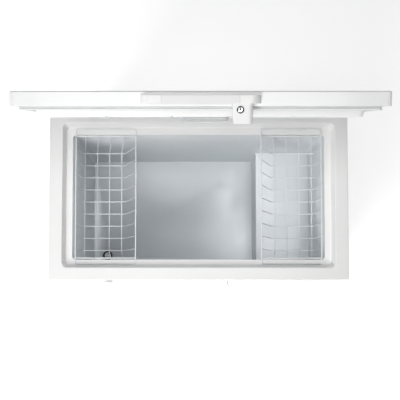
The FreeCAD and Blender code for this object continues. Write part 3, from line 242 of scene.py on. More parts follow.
def embossed_liner(name):
    """Coated metal liner with a shallow stucco pattern, and painted shade darkening its corners and seams."""
    g = Graph(name)
    broad = g.span(g.noise(2.2, detail=4.0), 0.35, 0.65)
    tint = g.mix(broad, shade(LINER, 0.97), shade(LINER, 1.03))
    # painted shade: the liner darkens towards its corners, seams and deep corners, where shade falls
    painted_gap_shade = g.math("MULTIPLY", g.span(g.crevices(LINER_SHADE_REACH), 0.7, 0.2), 0.2)
    tint = g.mix(painted_gap_shade, tint, shade(LINER, 0.6))
    g.put(g.shader.inputs["Base Color"], tint)
    stucco = g.cells(130.0, feature="SMOOTH_F1")
    g.put(g.shader.inputs["Normal"], g.bump(stucco, STUCCO_DEPTH, g.bump(g.noise(700.0), 0.00003)))
    g.put(g.shader.inputs["Roughness"], g.span(g.noise(9.0, detail=5.0), 0.3, 0.7, 0.34, 0.48))
    g.shader.inputs["Metallic"].default_value = 0.22
    return g.material


def foam_finish(name):
    g = Graph(name)
    bubbles = g.cells(420.0)
    base = g.mix(g.span(g.noise(12.0, detail=5.0), 0.3, 0.7), rgb(0.72, 0.62, 0.38), rgb(0.82, 0.74, 0.5))
    g.put(g.shader.inputs["Base Color"], g.mix(g.span(bubbles, 0.5, 0.1), base, rgb(0.55, 0.46, 0.26)))
    g.put(g.shader.inputs["Normal"], g.bump(bubbles, 0.0008))
    g.shader.inputs["Roughness"].default_value = 0.95
    return g.material


def lens_finish(name, colour, through):
    """Moulded clear or tinted plastic, slightly frosted."""
    g = Graph(name)
    haze = g.noise(60.0, detail=4.0)
    g.put(g.shader.inputs["Base Color"], g.mix(g.span(haze, 0.3, 0.7), shade(colour, 0.96), colour))
    g.put(g.shader.inputs["Roughness"], g.span(haze, 0.3, 0.7, 0.12, 0.26))
    g.put(g.shader.inputs["Normal"], g.bump(g.noise(500.0), 0.00004))
    g.shader.inputs["Transmission Weight"].default_value = through
    g.shader.inputs["IOR"].default_value = 1.46
    return g.material


FINISHES = {
    "white_steel": surface("white_steel", WHITE, 0.30, coat=0.25, mottle=(1.6, 0.008),
                           grain=(650.0, 0.000012), worn=(rgb(0.62, 0.63, 0.64), 0.0012)),
    "galvanised_steel": galvanised("galvanised_steel"),
    "liner_metal": embossed_liner("liner_metal"),
    "white_plastic": surface("white_plastic", rgb(0.84, 0.84, 0.835), 0.38, mottle=(3.0, 0.01),
                             grain=(1300.0, 0.000012)),
    "grip_plastic": surface("grip_plastic", rgb(0.80, 0.80, 0.80), 0.5, grain=(1800.0, 0.00003)),
    "foam": foam_finish("foam"),
    "copper": surface("copper", rgb(0.70, 0.33, 0.18), 0.3, 1.0, mottle=(30.0, 0.2), shade_and_soiling=0.5),
    "condenser_steel": surface("condenser_steel", rgb(0.30, 0.29, 0.28), 0.4, 0.8, mottle=(20.0, 0.15)),
    "black_paint": surface("black_paint", rgb(0.03, 0.03, 0.032), 0.35, coat=0.2,
                           worn=(rgb(0.18, 0.18, 0.18), 0.0012)),
    "black_rubber": surface("black_rubber", rgb(0.028, 0.028, 0.03), 0.72, grain=(800.0, 0.0001)),
    "black_plastic": surface("black_plastic", rgb(0.04, 0.04, 0.042), 0.5, grain=(1500.0, 0.0001)),
    "grey_plastic": surface("grey_plastic", rgb(0.52, 0.53, 0.54), 0.45, grain=(1500.0, 0.00002)),
    "green_lens": lens_finish("green_lens", rgb(0.05, 0.42, 0.12), 0.5),
    "chrome": surface("chrome", rgb(0.72, 0.73, 0.75), 0.12, 1.0, mottle=(60.0, 0.04), shade_and_soiling=0.4),
    "zinc_steel": surface("zinc_steel", rgb(0.52, 0.53, 0.50), 0.36, 0.9, mottle=(50.0, 0.1), shade_and_soiling=0.5),
    "gasket_vinyl": surface("gasket_vinyl", rgb(0.70, 0.71, 0.715), 0.55, grain=(1200.0, 0.00002)),
    "lamp_diffuser": lens_finish("lamp_diffuser", rgb(0.86, 0.88, 0.89), 0.55),
    "bulb_glass": lens_finish("bulb_glass", rgb(0.95, 0.95, 0.93), 0.7),
    "coated_wire": surface("coated_wire", rgb(0.80, 0.82, 0.835), 0.32, coat=0.3, mottle=(25.0, 0.03)),
}

SLOT_OF = {part["node"]: part["material_slot"] for part in frame["record"]["subparts"]}


def repaint():
    """Every carried-over CAD node gets the procedural finish of its own slot."""
    for name, node in NODES.items():
        for place in node.material_slots:
            place.material = FINISHES[SLOT_OF[name]]


repaint()

# ---- mesh helpers ----
SMOOTH_BELOW = math.radians(38)


def add_piece(name, bm, body, slots, stands_for=(), opened=False):
    """Turns a bmesh into a piece of the object that rides on a body and stands for CAD nodes."""
    if opened:
        bmesh.ops.transform(bm, matrix=OPENING, verts=bm.verts)
    bmesh.ops.recalc_face_normals(bm, faces=bm.faces)
    mesh = bpy.data.meshes.new(name)
    bm.to_mesh(mesh)
    bm.free()
    mesh.polygons.foreach_set("use_smooth", [True] * len(mesh.polygons))
    mesh.set_sharp_from_angle(angle=SMOOTH_BELOW)
    for slot in slots:
        mesh.materials.append(FINISHES[slot])
    piece = bpy.data.objects.new(name, mesh)
    SCENE.collection.objects.link(piece)
    even = piece.modifiers.new("even_shading", "WEIGHTED_NORMAL")
    even.keep_sharp = True
    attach(piece, body)
    if stands_for:
        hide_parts(*stands_for)
    return piece


def rounded(points, radii, steps=6):
    """Corner points with arcs in place of the corners. A radius of 0 leaves a corner as it is."""
    line = [points[0]]
    for before, corner, after, radius in zip(points, points[1:], points[2:], radii):
        back, ahead = (before - corner).normalized(), (after - corner).normalized()
        half = back.angle(ahead) / 2
        if radius == 0 or half > math.radians(89.5):
            line.append(corner)
            continue
        reach = radius / math.tan(half)
        centre = corner + (back + ahead).normalized() * (radius / math.sin(half))
        start, end = corner + back * reach - centre, corner + ahead * reach - centre
        sweep = math.pi - 2 * half
        for step in range(steps + 1):
            share = step / steps
            weight = math.sin(sweep)
            arc = start * (math.sin((1 - share) * sweep) / weight) + end * (math.sin(share * sweep) / weight)
            line.append(centre + arc)
    return line + [points[-1]]


def plan(x0, x1, y0, y1, z, radius, steps=8):
    """Level rounded rectangle, counter-clockwise from its front right corner."""
    ring = []
    corners = ((x1, y0, -1, 1, -90), (x1, y1, -1, -1, 0), (x0, y1, 1, -1, 90), (x0, y0, 1, 1, 180))
    for x, y, inward_x, inward_y, start in corners:
        cx, cy = x + inward_x * radius, y + inward_y * radius
        for step in range(steps + 1):
            angle = math.radians(start + 90 * step / steps)
            ring.append(Vector((cx + radius * math.cos(angle), cy + radius * math.sin(angle), z)))
    return ring


def skin(rings, closed=False, cap_first=False, cap_last=False, bm=None):
    """Quads between rings of equally many points."""
    bm = bm or bmesh.new()
    rows = [[bm.verts.new(p) for p in ring] for ring in rings]
    pairs = list(zip(rows, rows[1:]))
    if closed:
        pairs.append((rows[-1], rows[0]))
    for low, high in pairs:
        for i in range(len(low)):
            j = (i + 1) % len(low)
            bm.faces.new((low[i], low[j], high[j], high[i]))
    if cap_first:
        bm.faces.new(rows[0][::-1])
    if cap_last:
        bm.faces.new(rows[-1])
    return bm


def turned(profile, axis_start, axis, steps=32, bm=None):
    """Lathe: profile is (distance from the axis, distance along it). It ends on the axis or stays open."""
    axis = axis.normalized()
    side = axis.orthogonal().normalized()
    other = axis.cross(side)
    bm = bm or bmesh.new()
    rows = []
    for radius, along in profile:
        centre = axis_start + axis * along
        if radius < 1e-7:
            rows.append([bm.verts.new(centre)])
            continue
        ring = []
        for step in range(steps):
            angle = 2 * math.pi * step / steps
            ring.append(bm.verts.new(centre + (side * math.cos(angle) + other * math.sin(angle)) * radius))
        rows.append(ring)
    for low, high in zip(rows, rows[1:]):
        for i in range(steps):
            j = (i + 1) % steps
            corners = [low[i % len(low)], low[j % len(low)], high[j % len(high)], high[i % len(high)]]
            unique = list(dict.fromkeys(corners))
            if len(unique) > 2:
                bm.faces.new(unique)
    return bm


def wire(bm, points, radius, steps=10, looped=False):
    """Round bar along a line of points, with domed ends unless it is a loop."""
    count = len(points)
    previous = None
    rings = []
    for i, point in enumerate(points):
        if looped:
            along = (points[(i + 1) % count] - points[i - 1]).normalized()
        else:
            along = (points[min(i + 1, count - 1)] - points[max(i - 1, 0)]).normalized()
        side = (previous - along * previous.dot(along)) if previous else along.orthogonal()
        side.normalize()
        previous = side
        other = along.cross(side)
        rings.append((point, along, side, other))
    rows = []
    stations = [(p, a, s, o, radius, 0.0) for p, a, s, o in rings]
    if not looped:
        p, a, s, o = rings[0]
        dome = [(p, a, s, o, radius * 0.45, -radius * 0.55), (p, a, s, o, radius * 0.85, -radius * 0.3)]
        stations = dome + stations
        p, a, s, o = rings[-1]
        stations += [(p, a, s, o, radius * 0.85, radius * 0.3), (p, a, s, o, radius * 0.45, radius * 0.55)]
    for p, a, s, o, r, shift in stations:
        row = []
        for step in range(steps):
            angle = 2 * math.pi * step / steps
            row.append(bm.verts.new(p + a * shift + (s * math.cos(angle) + o * math.sin(angle)) * r))
        rows.append(row)
    pairs = list(zip(rows, rows[1:]))
    if looped:
        pairs.append((rows[-1], rows[0]))
    for low, high in pairs:
        for i in range(steps):
            j = (i + 1) % steps
            bm.faces.new((low[i], low[j], high[j], high[i]))
    if not looped:
        bm.faces.new(rows[0][::-1])
        bm.faces.new(rows[-1])


def weld_bead(bm, point, along, radius, reach):
    """Soft swelling of the coating where two wires are welded."""
    profile = [(0.0, -reach), (radius * 0.7, -reach * 0.9), (radius, -reach * 0.4), (radius * 1.06, 0.0)]
    profile += [(r, -d) for r, d in profile[-2::-1]]
    turned(profile, point, along, steps=10, bm=bm)


def soften(node, width, inner=True, nudge=(0, 0, 0)):
    """A copy of a CAD node with rounded edges, which stands for it. Its inside corners may stay sharp."""
    source = NODES[node]
    bm = bmesh.new()
    bm.from_mesh(source.data)
    bmesh.ops.translate(bm, vec=nudge, verts=bm.verts)
    bmesh.ops.remove_doubles(bm, verts=bm.verts, dist=0.00002)
    bmesh.ops.dissolve_limit(bm, angle_limit=math.radians(0.4), verts=bm.verts, edges=bm.edges)
    keen = [e for e in bm.edges if len(e.link_faces) == 2 and e.calc_face_angle(0.0) > SMOOTH_BELOW]
    keen = [e for e in keen if inner or e.is_convex]
    bmesh.ops.bevel(
        bm, geom=keen, offset=width, offset_type="OFFSET", segments=3, profile=0.5,
        affect="EDGES", clamp_overlap=True,
    )
    return add_piece(node + "_soft", bm, source["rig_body"], [SLOT_OF[node]], (node,))


# ---- cabinet ----
trim_low, trim_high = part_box("top_trim")
HALF_WIDTH = trim_high.x
FRONT, BACK = trim_low.y, trim_high.y
RIM = trim_high.z
TRIM_WALL = 0.0025
TRIM_SKIRT = 0.025
RECESS_DEPTH = 0.040
LEDGE = RIM - RECESS_DEPTH
SLOPE_TOP = 0.054
SLOPE_FOOT = 0.064
LEDGE_EDGE = 0.091
OPENING_RADIUS = 0.016
OPENING_X = 0.520
OPENING_FRONT, OPENING_BACK = FRONT + 0.083, FRONT + 0.601
STEP_X = 0.2725
STEP_TOP = RIM - 0.484
LINER_SHEET = 0.0012
LINER_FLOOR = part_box("inner_liner")[0].z + LINER_SHEET
LINER_DRAFT = 0.008
LINER_RADIUS = 0.013
LINER_FOLD = 0.007
BEHIND_TRIM = 0.001
WHOLE_WIDTH = 1.0
DRAIN_X, DRAIN_Y = -0.446, FRONT + 0.124
DRAIN_HOLE = 0.014
DRAIN_STEPS = 32
FLOOR_MARGIN = 0.012

# half width, front, back and corner radius of the trim's plan, keyed by how far it is in from the side
TRIM_PLANS = (
    (0.0, HALF_WIDTH, FRONT, BACK, 0.006),
    (SLOPE_TOP, 0.557, FRONT + 0.050, FRONT + 0.643, 0.022),
    (SLOPE_FOOT, 0.547, FRONT + 0.062, FRONT + 0.631, 0.018),
    (LEDGE_EDGE, OPENING_X, OPENING_FRONT, OPENING_BACK, OPENING_RADIUS),
)
# roundings of the rim: skirt's lower edge, rim's outer and inner edges, foot of the slope and ledge's lip
RIM_RADII = (0.0008, 0.0035, 0.0045, 0.004, 0.0018)


def trim_ring(inset, z):
    """The trim's plan at an inset between the skirt and the opening."""
    for near, far in zip(TRIM_PLANS, TRIM_PLANS[1:]):
        if inset <= far[0] or far is TRIM_PLANS[-1]:
            share = (inset - near[0]) / (far[0] - near[0])
            half, front, back, radius = [a + (b - a) * share for a, b in zip(near[1:], far[1:])]
            return plan(-half, half, front, back, z, max(radius, 0.002), steps=10)


def rim_trim():
    """Moulded rim, sloped recess and ledge, as one shell with soft edges."""
    low = RIM - TRIM_SKIRT
    face = [
        Vector((TRIM_WALL, 0, low)), Vector((0, 0, low)), Vector((0, 0, RIM)), Vector((SLOPE_TOP, 0, RIM)),
        Vector((SLOPE_FOOT, 0, LEDGE)), Vector((LEDGE_EDGE, 0, LEDGE)),
        Vector((LEDGE_EDGE, 0, LEDGE - TRIM_WALL)),
    ]
    back = [
        Vector((SLOPE_FOOT - TRIM_WALL, 0, LEDGE - TRIM_WALL)),
        Vector((SLOPE_TOP - TRIM_WALL, 0, RIM - TRIM_WALL)),
        Vector((TRIM_WALL, 0, RIM - TRIM_WALL)),
    ]
    line = rounded(face, RIM_RADII) + back
    bm = skin([trim_ring(p.x, p.z) for p in line], closed=True)
    return add_piece("rim_trim", bm, "cabinet", ["white_plastic"], ("top_trim",))


def tub_plan(right, z, margin=0.0):
    """Liner outline at one height. Its walls lean in a little towards the floor."""
    inset = LINER_DRAFT * (LEDGE - z) / (LEDGE - LINER_FLOOR) + margin
    x = OPENING_X + BEHIND_TRIM - inset
    front, back = OPENING_FRONT - BEHIND_TRIM + inset, OPENING_BACK + BEHIND_TRIM - inset
    return plan(-x, min(right - margin, x), front, back, z, LINER_RADIUS, steps=6)


def drain_ring(z):
    """Edge of the drain hole in the tub's floor."""
    centre = Vector((DRAIN_X, DRAIN_Y, z))
    turns = [2 * math.pi * step / DRAIN_STEPS for step in range(DRAIN_STEPS)]
    return [centre + Vector((math.cos(a), math.sin(a), 0)) * DRAIN_HOLE for a in turns]


def tub():
    """Inner liner: drafted walls, floor and step, with formed radii, then the sheet's thickness."""
    bm = bmesh.new()
    top = LEDGE - TRIM_WALL
    floor, deep_top = tub_plan(STEP_X, LINER_FLOOR), tub_plan(STEP_X, STEP_TOP)
    wide_low, wide_top = tub_plan(WHOLE_WIDTH, STEP_TOP), tub_plan(WHOLE_WIDTH, top)
    corner = len(floor) // 4
    step_front, step_back = deep_top[0], deep_top[2 * corner - 1]
    floor_row = [bm.verts.new(p) for p in floor]
    deep_row = [bm.verts.new(p) for p in deep_top]
    for i in range(len(floor)):
        j = (i + 1) % len(floor)
        bm.faces.new((floor_row[i], floor_row[j], deep_row[j], deep_row[i]))
    inner_row = [bm.verts.new(p) for p in tub_plan(STEP_X, LINER_FLOOR, FLOOR_MARGIN)]
    for i in range(len(floor)):
        j = (i + 1) % len(floor)
        bm.faces.new((floor_row[j], floor_row[i], inner_row[i], inner_row[j]))
    hole_row = [bm.verts.new(p) for p in drain_ring(LINER_FLOOR)]
    inner_edges = [bm.edges.get((a, b)) for a, b in zip(inner_row, inner_row[1:] + inner_row[:1])]
    hole_edges = [bm.edges.new((a, b)) for a, b in zip(hole_row, hole_row[1:] + hole_row[:1])]
    bmesh.ops.triangle_fill(bm, edges=inner_edges + hole_edges, use_beauty=True)
    right_low = [bm.verts.new(p) for p in wide_low[:2 * corner]]
    step_face = [deep_row[0]] + right_low + [deep_row[2 * corner - 1]] + deep_row[1:2 * corner - 1][::-1]
    bm.faces.new(step_face)
    low_row = [deep_row[0]] + right_low + deep_row[2 * corner - 1:]
    high = [Vector((step_front.x, wide_top[0].y, top))] + wide_top[:2 * corner]
    high += [Vector((step_back.x, wide_top[2 * corner - 1].y, top))] + wide_top[2 * corner:]
    high_row = [bm.verts.new(p) for p in high]
    for i in range(len(low_row)):
        j = (i + 1) % len(low_row)
        bm.faces.new((low_row[i], low_row[j], high_row[j], high_row[i]))
    bmesh.ops.recalc_face_normals(bm, faces=bm.faces)
    folds = [e for e in bm.edges if len(e.link_faces) == 2 and e.calc_face_angle(0.0) > SMOOTH_BELOW]
    bmesh.ops.bevel(bm, geom=folds, offset=LINER_FOLD, offset_type="OFFSET", segments=4, profile=0.5,
                    affect="EDGES", clamp_overlap=True)
    piece = add_piece("tub_liner", bm, "cabinet", ["liner_metal"], ("inner_liner",))
    sheet = piece.modifiers.new("sheet", "SOLIDIFY")
    sheet.thickness = LINER_SHEET
    sheet.offset = 1.0
    return piece


# ---- lid ----
panel_low, panel_high = closed_box("lid_outer_panel")
seal_low, seal_high = closed_box("lid_gasket")
CAP_SEAM = 0.012
SEAM_WIDTH = 0.0011
SEAM_DEPTH = 0.0012
SEAM_REACH = 0.004
LID_CORNER = 0.010
LID_SHEET = 0.0012
LID_UNDERSIDE = 0.006
LID_HEM, HEM_SLANT = 0.007, 0.0005
HEM_HEIGHT = 0.0016
TOP_INSET = 0.020
LID_RADII = (0.0004, 0.0010, 0.0055)  # hem's inner edge, hem's outer edge, top edge


def panel_ring(inset, z, seam):
    """Lid plan with two narrow seams on the front, where the end caps begin."""
    x0, x1 = panel_low.x + inset, panel_high.x - inset
    y0, y1 = panel_low.y + inset, panel_high.y - inset
    ring = plan(x0, x1, y0, y1, z, max(LID_CORNER - inset, 0.002), steps=8)
    for middle in (panel_low.x + CAP_SEAM, panel_high.x - CAP_SEAM):
        for shift, depth in ((-SEAM_WIDTH, 0.0), (0.0, seam), (SEAM_WIDTH, 0.0)):
            ring.append(Vector((middle + shift, y0 + depth, z)))
    return ring


def lid_skin():
    """Pressed lid: hemmed lower edge, soft top edge and the seams of its end caps."""
    low, high = panel_low.z, panel_high.z
    side = [
        Vector((LID_HEM, 0, low + HEM_HEIGHT)), Vector((LID_HEM - HEM_SLANT, 0, low)), Vector((0, 0, low)),
        Vector((0, 0, high)), Vector((TOP_INSET, 0, high)),
    ]
    rings = [panel_ring(LID_SHEET, z, 0.0) for z in (high - LID_UNDERSIDE, low + HEM_HEIGHT)]
    for p in rounded(side, LID_RADII):
        rings.append(panel_ring(p.x, p.z, SEAM_DEPTH if p.x < SEAM_REACH else 0.0))
    bm = skin(rings, cap_first=True, cap_last=True)
    return add_piece("lid_skin", bm, "lid", ["white_steel"], ("lid_outer_panel",), opened=True)


SEAL_CORNER = 0.016
SEAL_PROFILE = (  # distance in from the outer edge and height above the sealing face
    (0.0010, 0.0127), (0.0005, 0.0104), (0.0030, 0.0092), (0.0044, 0.0076), (0.0026, 0.0060),
    (0.0005, 0.0048), (0.0, 0.0032), (0.0004, 0.0010), (0.0018, 0.0002), (0.0070, 0.0006), (0.0120, 0.0010),
    (0.0170, 0.0006), (0.0222, 0.0002), (0.0236, 0.0010), (0.0240, 0.0032), (0.0235, 0.0048),
    (0.0214, 0.0060), (0.0196, 0.0076), (0.0210, 0.0092), (0.0235, 0.0104), (0.0230, 0.0127),
)


def lid_seal():
    """Bellows gasket round the lid, with mitred-looking tight corners."""
    rings = []
    for inset, height in SEAL_PROFILE:
        rings.append(plan(seal_low.x + inset, seal_high.x - inset, seal_low.y + inset, seal_high.y - inset,
                          seal_low.z + height, max(SEAL_CORNER - inset, 0.0015), steps=5))
    bm = skin(rings, closed=True)
    return add_piece("lid_seal", bm, "lid", ["gasket_vinyl"], ("lid_gasket",), opened=True)


# ---- baskets ----
hanger_low, hanger_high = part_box("left_basket_frame")
ROD, WIRE = 0.0025, 0.0020
HANGER_Z = hanger_high.z - ROD
HANGER_CORNER = 0.008
BASKET_OUTER, BASKET_INNER = 0.507, 0.2595
BASKET_DEPTH = 0.187
FLOOR_OUTER, FLOOR_INNER = 0.505, 0.318
FLOOR_FRONT, FLOOR_BACK = FRONT + 0.122, FRONT + 0.556
END_FRONT, END_BACK = FRONT + 0.0895, FRONT + 0.594
END_OVERHANG = 0.0015
CROSS_COUNT, CROSS_PITCH, CROSS_MIDDLE = 9, 0.0529, FRONT + 0.3394
LONG_COUNT, LONG_FIRST, LONG_PITCH, LONG_LEAN = 4, 0.494, 0.0534, 0.026
WIRE_BENDS = (0.018, 0.018)
WELD_SINK = 0.0005
# radius and half length of each weld's bead
HANGER_WELD, END_WELD, CROSSING_WELD = (0.0029, 0.0045), (0.0024, 0.0040), (0.0017, 0.0034)
END_WELD_RISE = 0.0008


def basket(side):
    """Coated wire basket: hanger loop and end rods in one piece, the mesh of thin wires in another."""
    sign = -1 if side == "left" else 1

    def at(x, y, z):
        return Vector((sign * x, y, z))

    lengthwise, crosswise = Vector((0, 1, 0)), Vector((1, 0, 0))
    frame_bm, wires_bm = bmesh.new(), bmesh.new()
    loop = plan(BASKET_INNER, BASKET_OUTER, hanger_low.y + ROD, hanger_high.y - ROD, HANGER_Z, HANGER_CORNER,
                steps=6)
    wire(frame_bm, [at(p.x, p.y, p.z) for p in loop], ROD, steps=12, looped=True)
    end_z = HANGER_Z - 2 * ROD - WELD_SINK
    for y in (END_FRONT, END_BACK):
        ends = [at(BASKET_OUTER + END_OVERHANG, y, end_z), at(BASKET_INNER - END_OVERHANG, y, end_z)]
        wire(frame_bm, ends, ROD, steps=12)
        for x in (BASKET_OUTER, BASKET_INNER):
            weld_bead(frame_bm, at(x, y, HANGER_Z - ROD), lengthwise, *HANGER_WELD)
    hook_z = HANGER_Z - ROD - WELD_SINK
    floor_z = HANGER_Z - BASKET_DEPTH
    cross_rows = [CROSS_MIDDLE + CROSS_PITCH * (count - CROSS_COUNT // 2) for count in range(CROSS_COUNT)]
    for y in cross_rows:
        route = [at(BASKET_OUTER, y, hook_z), at(FLOOR_OUTER, y, floor_z), at(FLOOR_INNER, y, floor_z),
                 at(BASKET_INNER, y, hook_z)]
        wire(wires_bm, rounded(route, WIRE_BENDS), WIRE)
        for x in (BASKET_OUTER, BASKET_INNER):
            weld_bead(wires_bm, at(x, y, hook_z), lengthwise, *END_WELD)
    low_z = floor_z - 2 * WIRE - WELD_SINK
    top_z = HANGER_Z - 3 * ROD - 2 * WELD_SINK
    crossing_z = low_z + WIRE + WELD_SINK / 2
    for count in range(LONG_COUNT):
        x = LONG_FIRST - LONG_PITCH * count
        route = [at(x - LONG_LEAN, END_FRONT, top_z), at(x, FLOOR_FRONT, low_z), at(x, FLOOR_BACK, low_z),
                 at(x - LONG_LEAN, END_BACK, top_z)]
        wire(wires_bm, rounded(route, WIRE_BENDS), WIRE)
        for y in (END_FRONT, END_BACK):
            weld_bead(wires_bm, at(x - LONG_LEAN, y, top_z + END_WELD_RISE), crosswise, *END_WELD)
        for y in cross_rows:
            weld_bead(wires_bm, at(x, y, crossing_z), crosswise, *CROSSING_WELD)
    body = side + "_basket"
    add_piece(body + "_loop", frame_bm, body, ["coated_wire"], (body + "_frame",))
    add_piece(body + "_mesh", wires_bm, body, ["coated_wire"], (body + "_wires",))


# ---- drain stopper: profiles are (distance from the axis, height above the floor's seat) ----
STOPPER_BASE = LINER_FLOOR + 0.0025
STOPPER_RING = (
    (0.0, -0.0160), (0.0100, -0.0160), (0.0114, -0.0150), (0.0116, -0.0130), (0.0111, -0.0110),
    (0.0116, -0.0090), (0.0111, -0.0070), (0.0116, -0.0050), (0.0116, 0.0), (0.0226, 0.0), (0.0234, 0.0010),
    (0.0232, 0.0026), (0.0216, 0.0060), (0.0202, 0.0072), (0.0182, 0.0074), (0.0164, 0.0066),
    (0.0158, 0.0050), (0.0158, 0.0030), (0.0, 0.0030),
)
STOPPER_DISH = (
    (0.0, 0.0031), (0.0156, 0.0031), (0.0156, 0.0052), (0.0150, 0.0056), (0.0140, 0.0046), (0.0120, 0.0040),
    (0.0, 0.0040),
)
GRIP_ARCH = ((-0.0128, 0.0040), (-0.0085, 0.0092), (0.0085, 0.0092), (0.0128, 0.0040))
GRIP_BENDS = (0.004, 0.004)
GRIP_RADIUS = 0.0026


def drain_stopper():
    """Rubber ring and stem, with a paler dished centre and a moulded grip across it."""
    up = Vector((0, 0, 1))
    seat = Vector((DRAIN_X, DRAIN_Y, STOPPER_BASE))
    ring = turned(STOPPER_RING, seat, up, steps=48)
    add_piece("stopper_ring", ring, "plug", ["black_rubber"], ("drain_plug",))
    dish = turned(STOPPER_DISH, seat, up, steps=40)
    add_piece("stopper_dish", dish, "plug", ["grey_plastic"], ("drain_plug",))
    grip = bmesh.new()
    arch = [seat + Vector((x, 0, z)) for x, z in GRIP_ARCH]
    wire(grip, rounded(arch, GRIP_BENDS), GRIP_RADIUS, steps=12)
    add_piece("stopper_grip", grip, "plug", ["grip_plastic"], ("drain_plug",))


# ---- lock: profiles are (distance from the axis, depth behind the cylinder's face) ----
LOCK_X = 0.1273
LOCK_Z = RIM + 0.001
LOCK_STEPS = 56
BEZEL_PROFILE = (
    (0.0086, 0.0026), (0.0086, 0.0010), (0.0091, 0.0003), (0.0099, 0.0), (0.0112, 0.0002), (0.0119, 0.0008),
    (0.0120, 0.0017), (0.0120, 0.0026), (0.0086, 0.0026),
)
CORE_FACE = (
    (0.0030, 0.0090), (0.0030, 0.0024), (0.0034, 0.0019), (0.0062, 0.0016), (0.0067, 0.0010),
    (0.0073, 0.0008), (0.0080, 0.0011), (0.0083, 0.0020), (0.0084, 0.0036), (0.0100, 0.0036),
)
CORE_RADIUS = 0.0100
TAIL_RADIUS, TAIL_LENGTH = 0.0034, 0.0032
KEYWAY_HALF, SHUTTER_RADIUS, SHUTTER_FRONT, SHUTTER_BACK = 0.0008, 0.0030, 0.0026, 0.0060
SHUTTER_STEPS = 16


def lock_face():
    """Bezel in black plastic as a painted dark reflection of a chrome ring, chromed key cylinder and barrel,
    and the shutter either side of the keyway.
    """
    low, high = closed_box("lock_cylinder")
    start = Vector((LOCK_X, low.y, LOCK_Z))
    inward = Vector((0, 1, 0))
    depth = high.y - low.y
    bezel = turned(BEZEL_PROFILE, start, inward, steps=LOCK_STEPS)
    # painted reflection: the bezel is black plastic instead of chrome, standing in for the dark surroundings
    # a chrome ring reflects
    add_piece("lock_bezel_dark_reflection", bezel, "lock_barrel", ["black_plastic"], ("lock_cylinder",), opened=True)
    tail_start = depth - TAIL_LENGTH
    tail = ((CORE_RADIUS, tail_start), (TAIL_RADIUS, tail_start), (TAIL_RADIUS, depth), (0.0, depth))
    core = turned(CORE_FACE + tail, start, inward, steps=LOCK_STEPS)
    add_piece("lock_core", core, "lock_barrel", ["chrome"], ("lock_cylinder",), opened=True)
    shutter = bmesh.new()
    for sign in (-1, 1):
        ring = []
        for step in range(SHUTTER_STEPS + 1):
            angle = math.acos(KEYWAY_HALF / SHUTTER_RADIUS) * (1 - 2 * step / SHUTTER_STEPS)
            ring.append((sign * SHUTTER_RADIUS * math.cos(angle), SHUTTER_RADIUS * math.sin(angle)))
        front = [shutter.verts.new(start + Vector((x, SHUTTER_FRONT, z))) for x, z in ring]
        back = [shutter.verts.new(start + Vector((x, SHUTTER_BACK, z))) for x, z in ring]
        shutter.faces.new(front)
        shutter.faces.new(back[::-1])
        for i in range(len(ring)):
            j = (i + 1) % len(ring)
            shutter.faces.new((front[i], back[i], back[j], front[j]))
    add_piece("lock_shutter", shutter, "lock_barrel", ["black_plastic"], ("lock_cylinder",), opened=True)


# ---- rear cover ----
cover_low, cover_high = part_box("rear_access_cover")
SLOT_LENGTH, SLOT_HEIGHT, SLOT_PITCH = 0.080, 0.007, 0.020
SLOT_COLUMNS, SLOT_ROWS, SLOT_LOWEST = (0.037, 0.142), 9, 0.084
HOOD_DEPTH, HOOD_SHEET, HOOD_DROP, HOOD_LAP = 0.0042, 0.0009, 0.008, 0.0015
HOOD_LENGTH = SLOT_LENGTH * 1.03
HOOD_SEAT = 0.0001
HOOD_END = 0.03
HOOD_LIP_TURN = 1.2
HOOD_STEPS = 18
HOOD_TURNS = [math.radians(angle) for angle in range(0, 101, 20)]


def hood_ring(x, face, top, swell):
    """Section across one hood: down its outside and back up its inside. swell shrinks it near the ends."""
    outer, inner = [], []
    for a in HOOD_TURNS:
        out = HOOD_DEPTH * math.sin(a)
        down = top - HOOD_DROP * (1 - math.cos(a)) * swell
        outer.append(Vector((x, face + out * swell, down)))
        under = (out - HOOD_SHEET) * swell if a > 0 else 0.0
        inner.append(Vector((x, face + under, down - HOOD_SHEET * swell * math.cos(a / HOOD_LIP_TURN))))
    return outer + inner[::-1]


def louvre_hoods():
    """Pressed hoods over the slots of the rear cover, open at the bottom."""
    bm = bmesh.new()
    face = cover_high.y - HOOD_SEAT
    for column in SLOT_COLUMNS:
        for row in range(SLOT_ROWS):
            top = SLOT_LOWEST + SLOT_PITCH * row + SLOT_HEIGHT + HOOD_LAP
            rings = []
            for step in range(HOOD_STEPS + 1):
                along = -math.cos(math.pi * step / HOOD_STEPS)
                swell = max(HOOD_END, 1 - abs(along) ** 6) ** 0.5
                x = cover_low.x + column + (SLOT_LENGTH + HOOD_LENGTH * along) / 2
                rings.append(hood_ring(x, face, top, swell))
            skin(rings, cap_first=True, cap_last=True, bm=bm)
    add_piece("louvre_hoods", bm, "cabinet", ["galvanised_steel"])


# ---- edges: nodes that only need their corners rounded, and by how much ----
ROUNDED_EDGES = {
    "lid_liner": 0.0022, "lid_handle": 0.0022, "handle_grip_insert": 0.0009, "lock_keeper": 0.0006,
    "drain_cap": 0.0008, "control_bezel": 0.0008, "thermostat_knob": 0.0009, "lamp_lens": 0.0005,
    "lamp_socket": 0.0008, "compressor_relay": 0.0012, "power_cord_gland": 0.0006,
    "left_hinge_bracket": 0.0007, "right_hinge_bracket": 0.0007, "left_hinge_arm": 0.0007,
    "right_hinge_arm": 0.0007,
}
HOUSING_EDGE = 0.0016
# shut, the housing's back edge is flush with the keeper's screw heads, so its look stands a hair forward
HOUSING_CLEARANCE = Vector((0, -0.00005, 0))

rim_trim()
tub()
louvre_hoods()
drain_stopper()
lock_face()
lid_skin()
lid_seal()
basket("left")
basket("right")
for node, width in ROUNDED_EDGES.items():
    soften(node, width)
soften("lock_housing", HOUSING_EDGE, inner=False, nudge=OPENING.to_3x3() @ HOUSING_CLEARANCE)


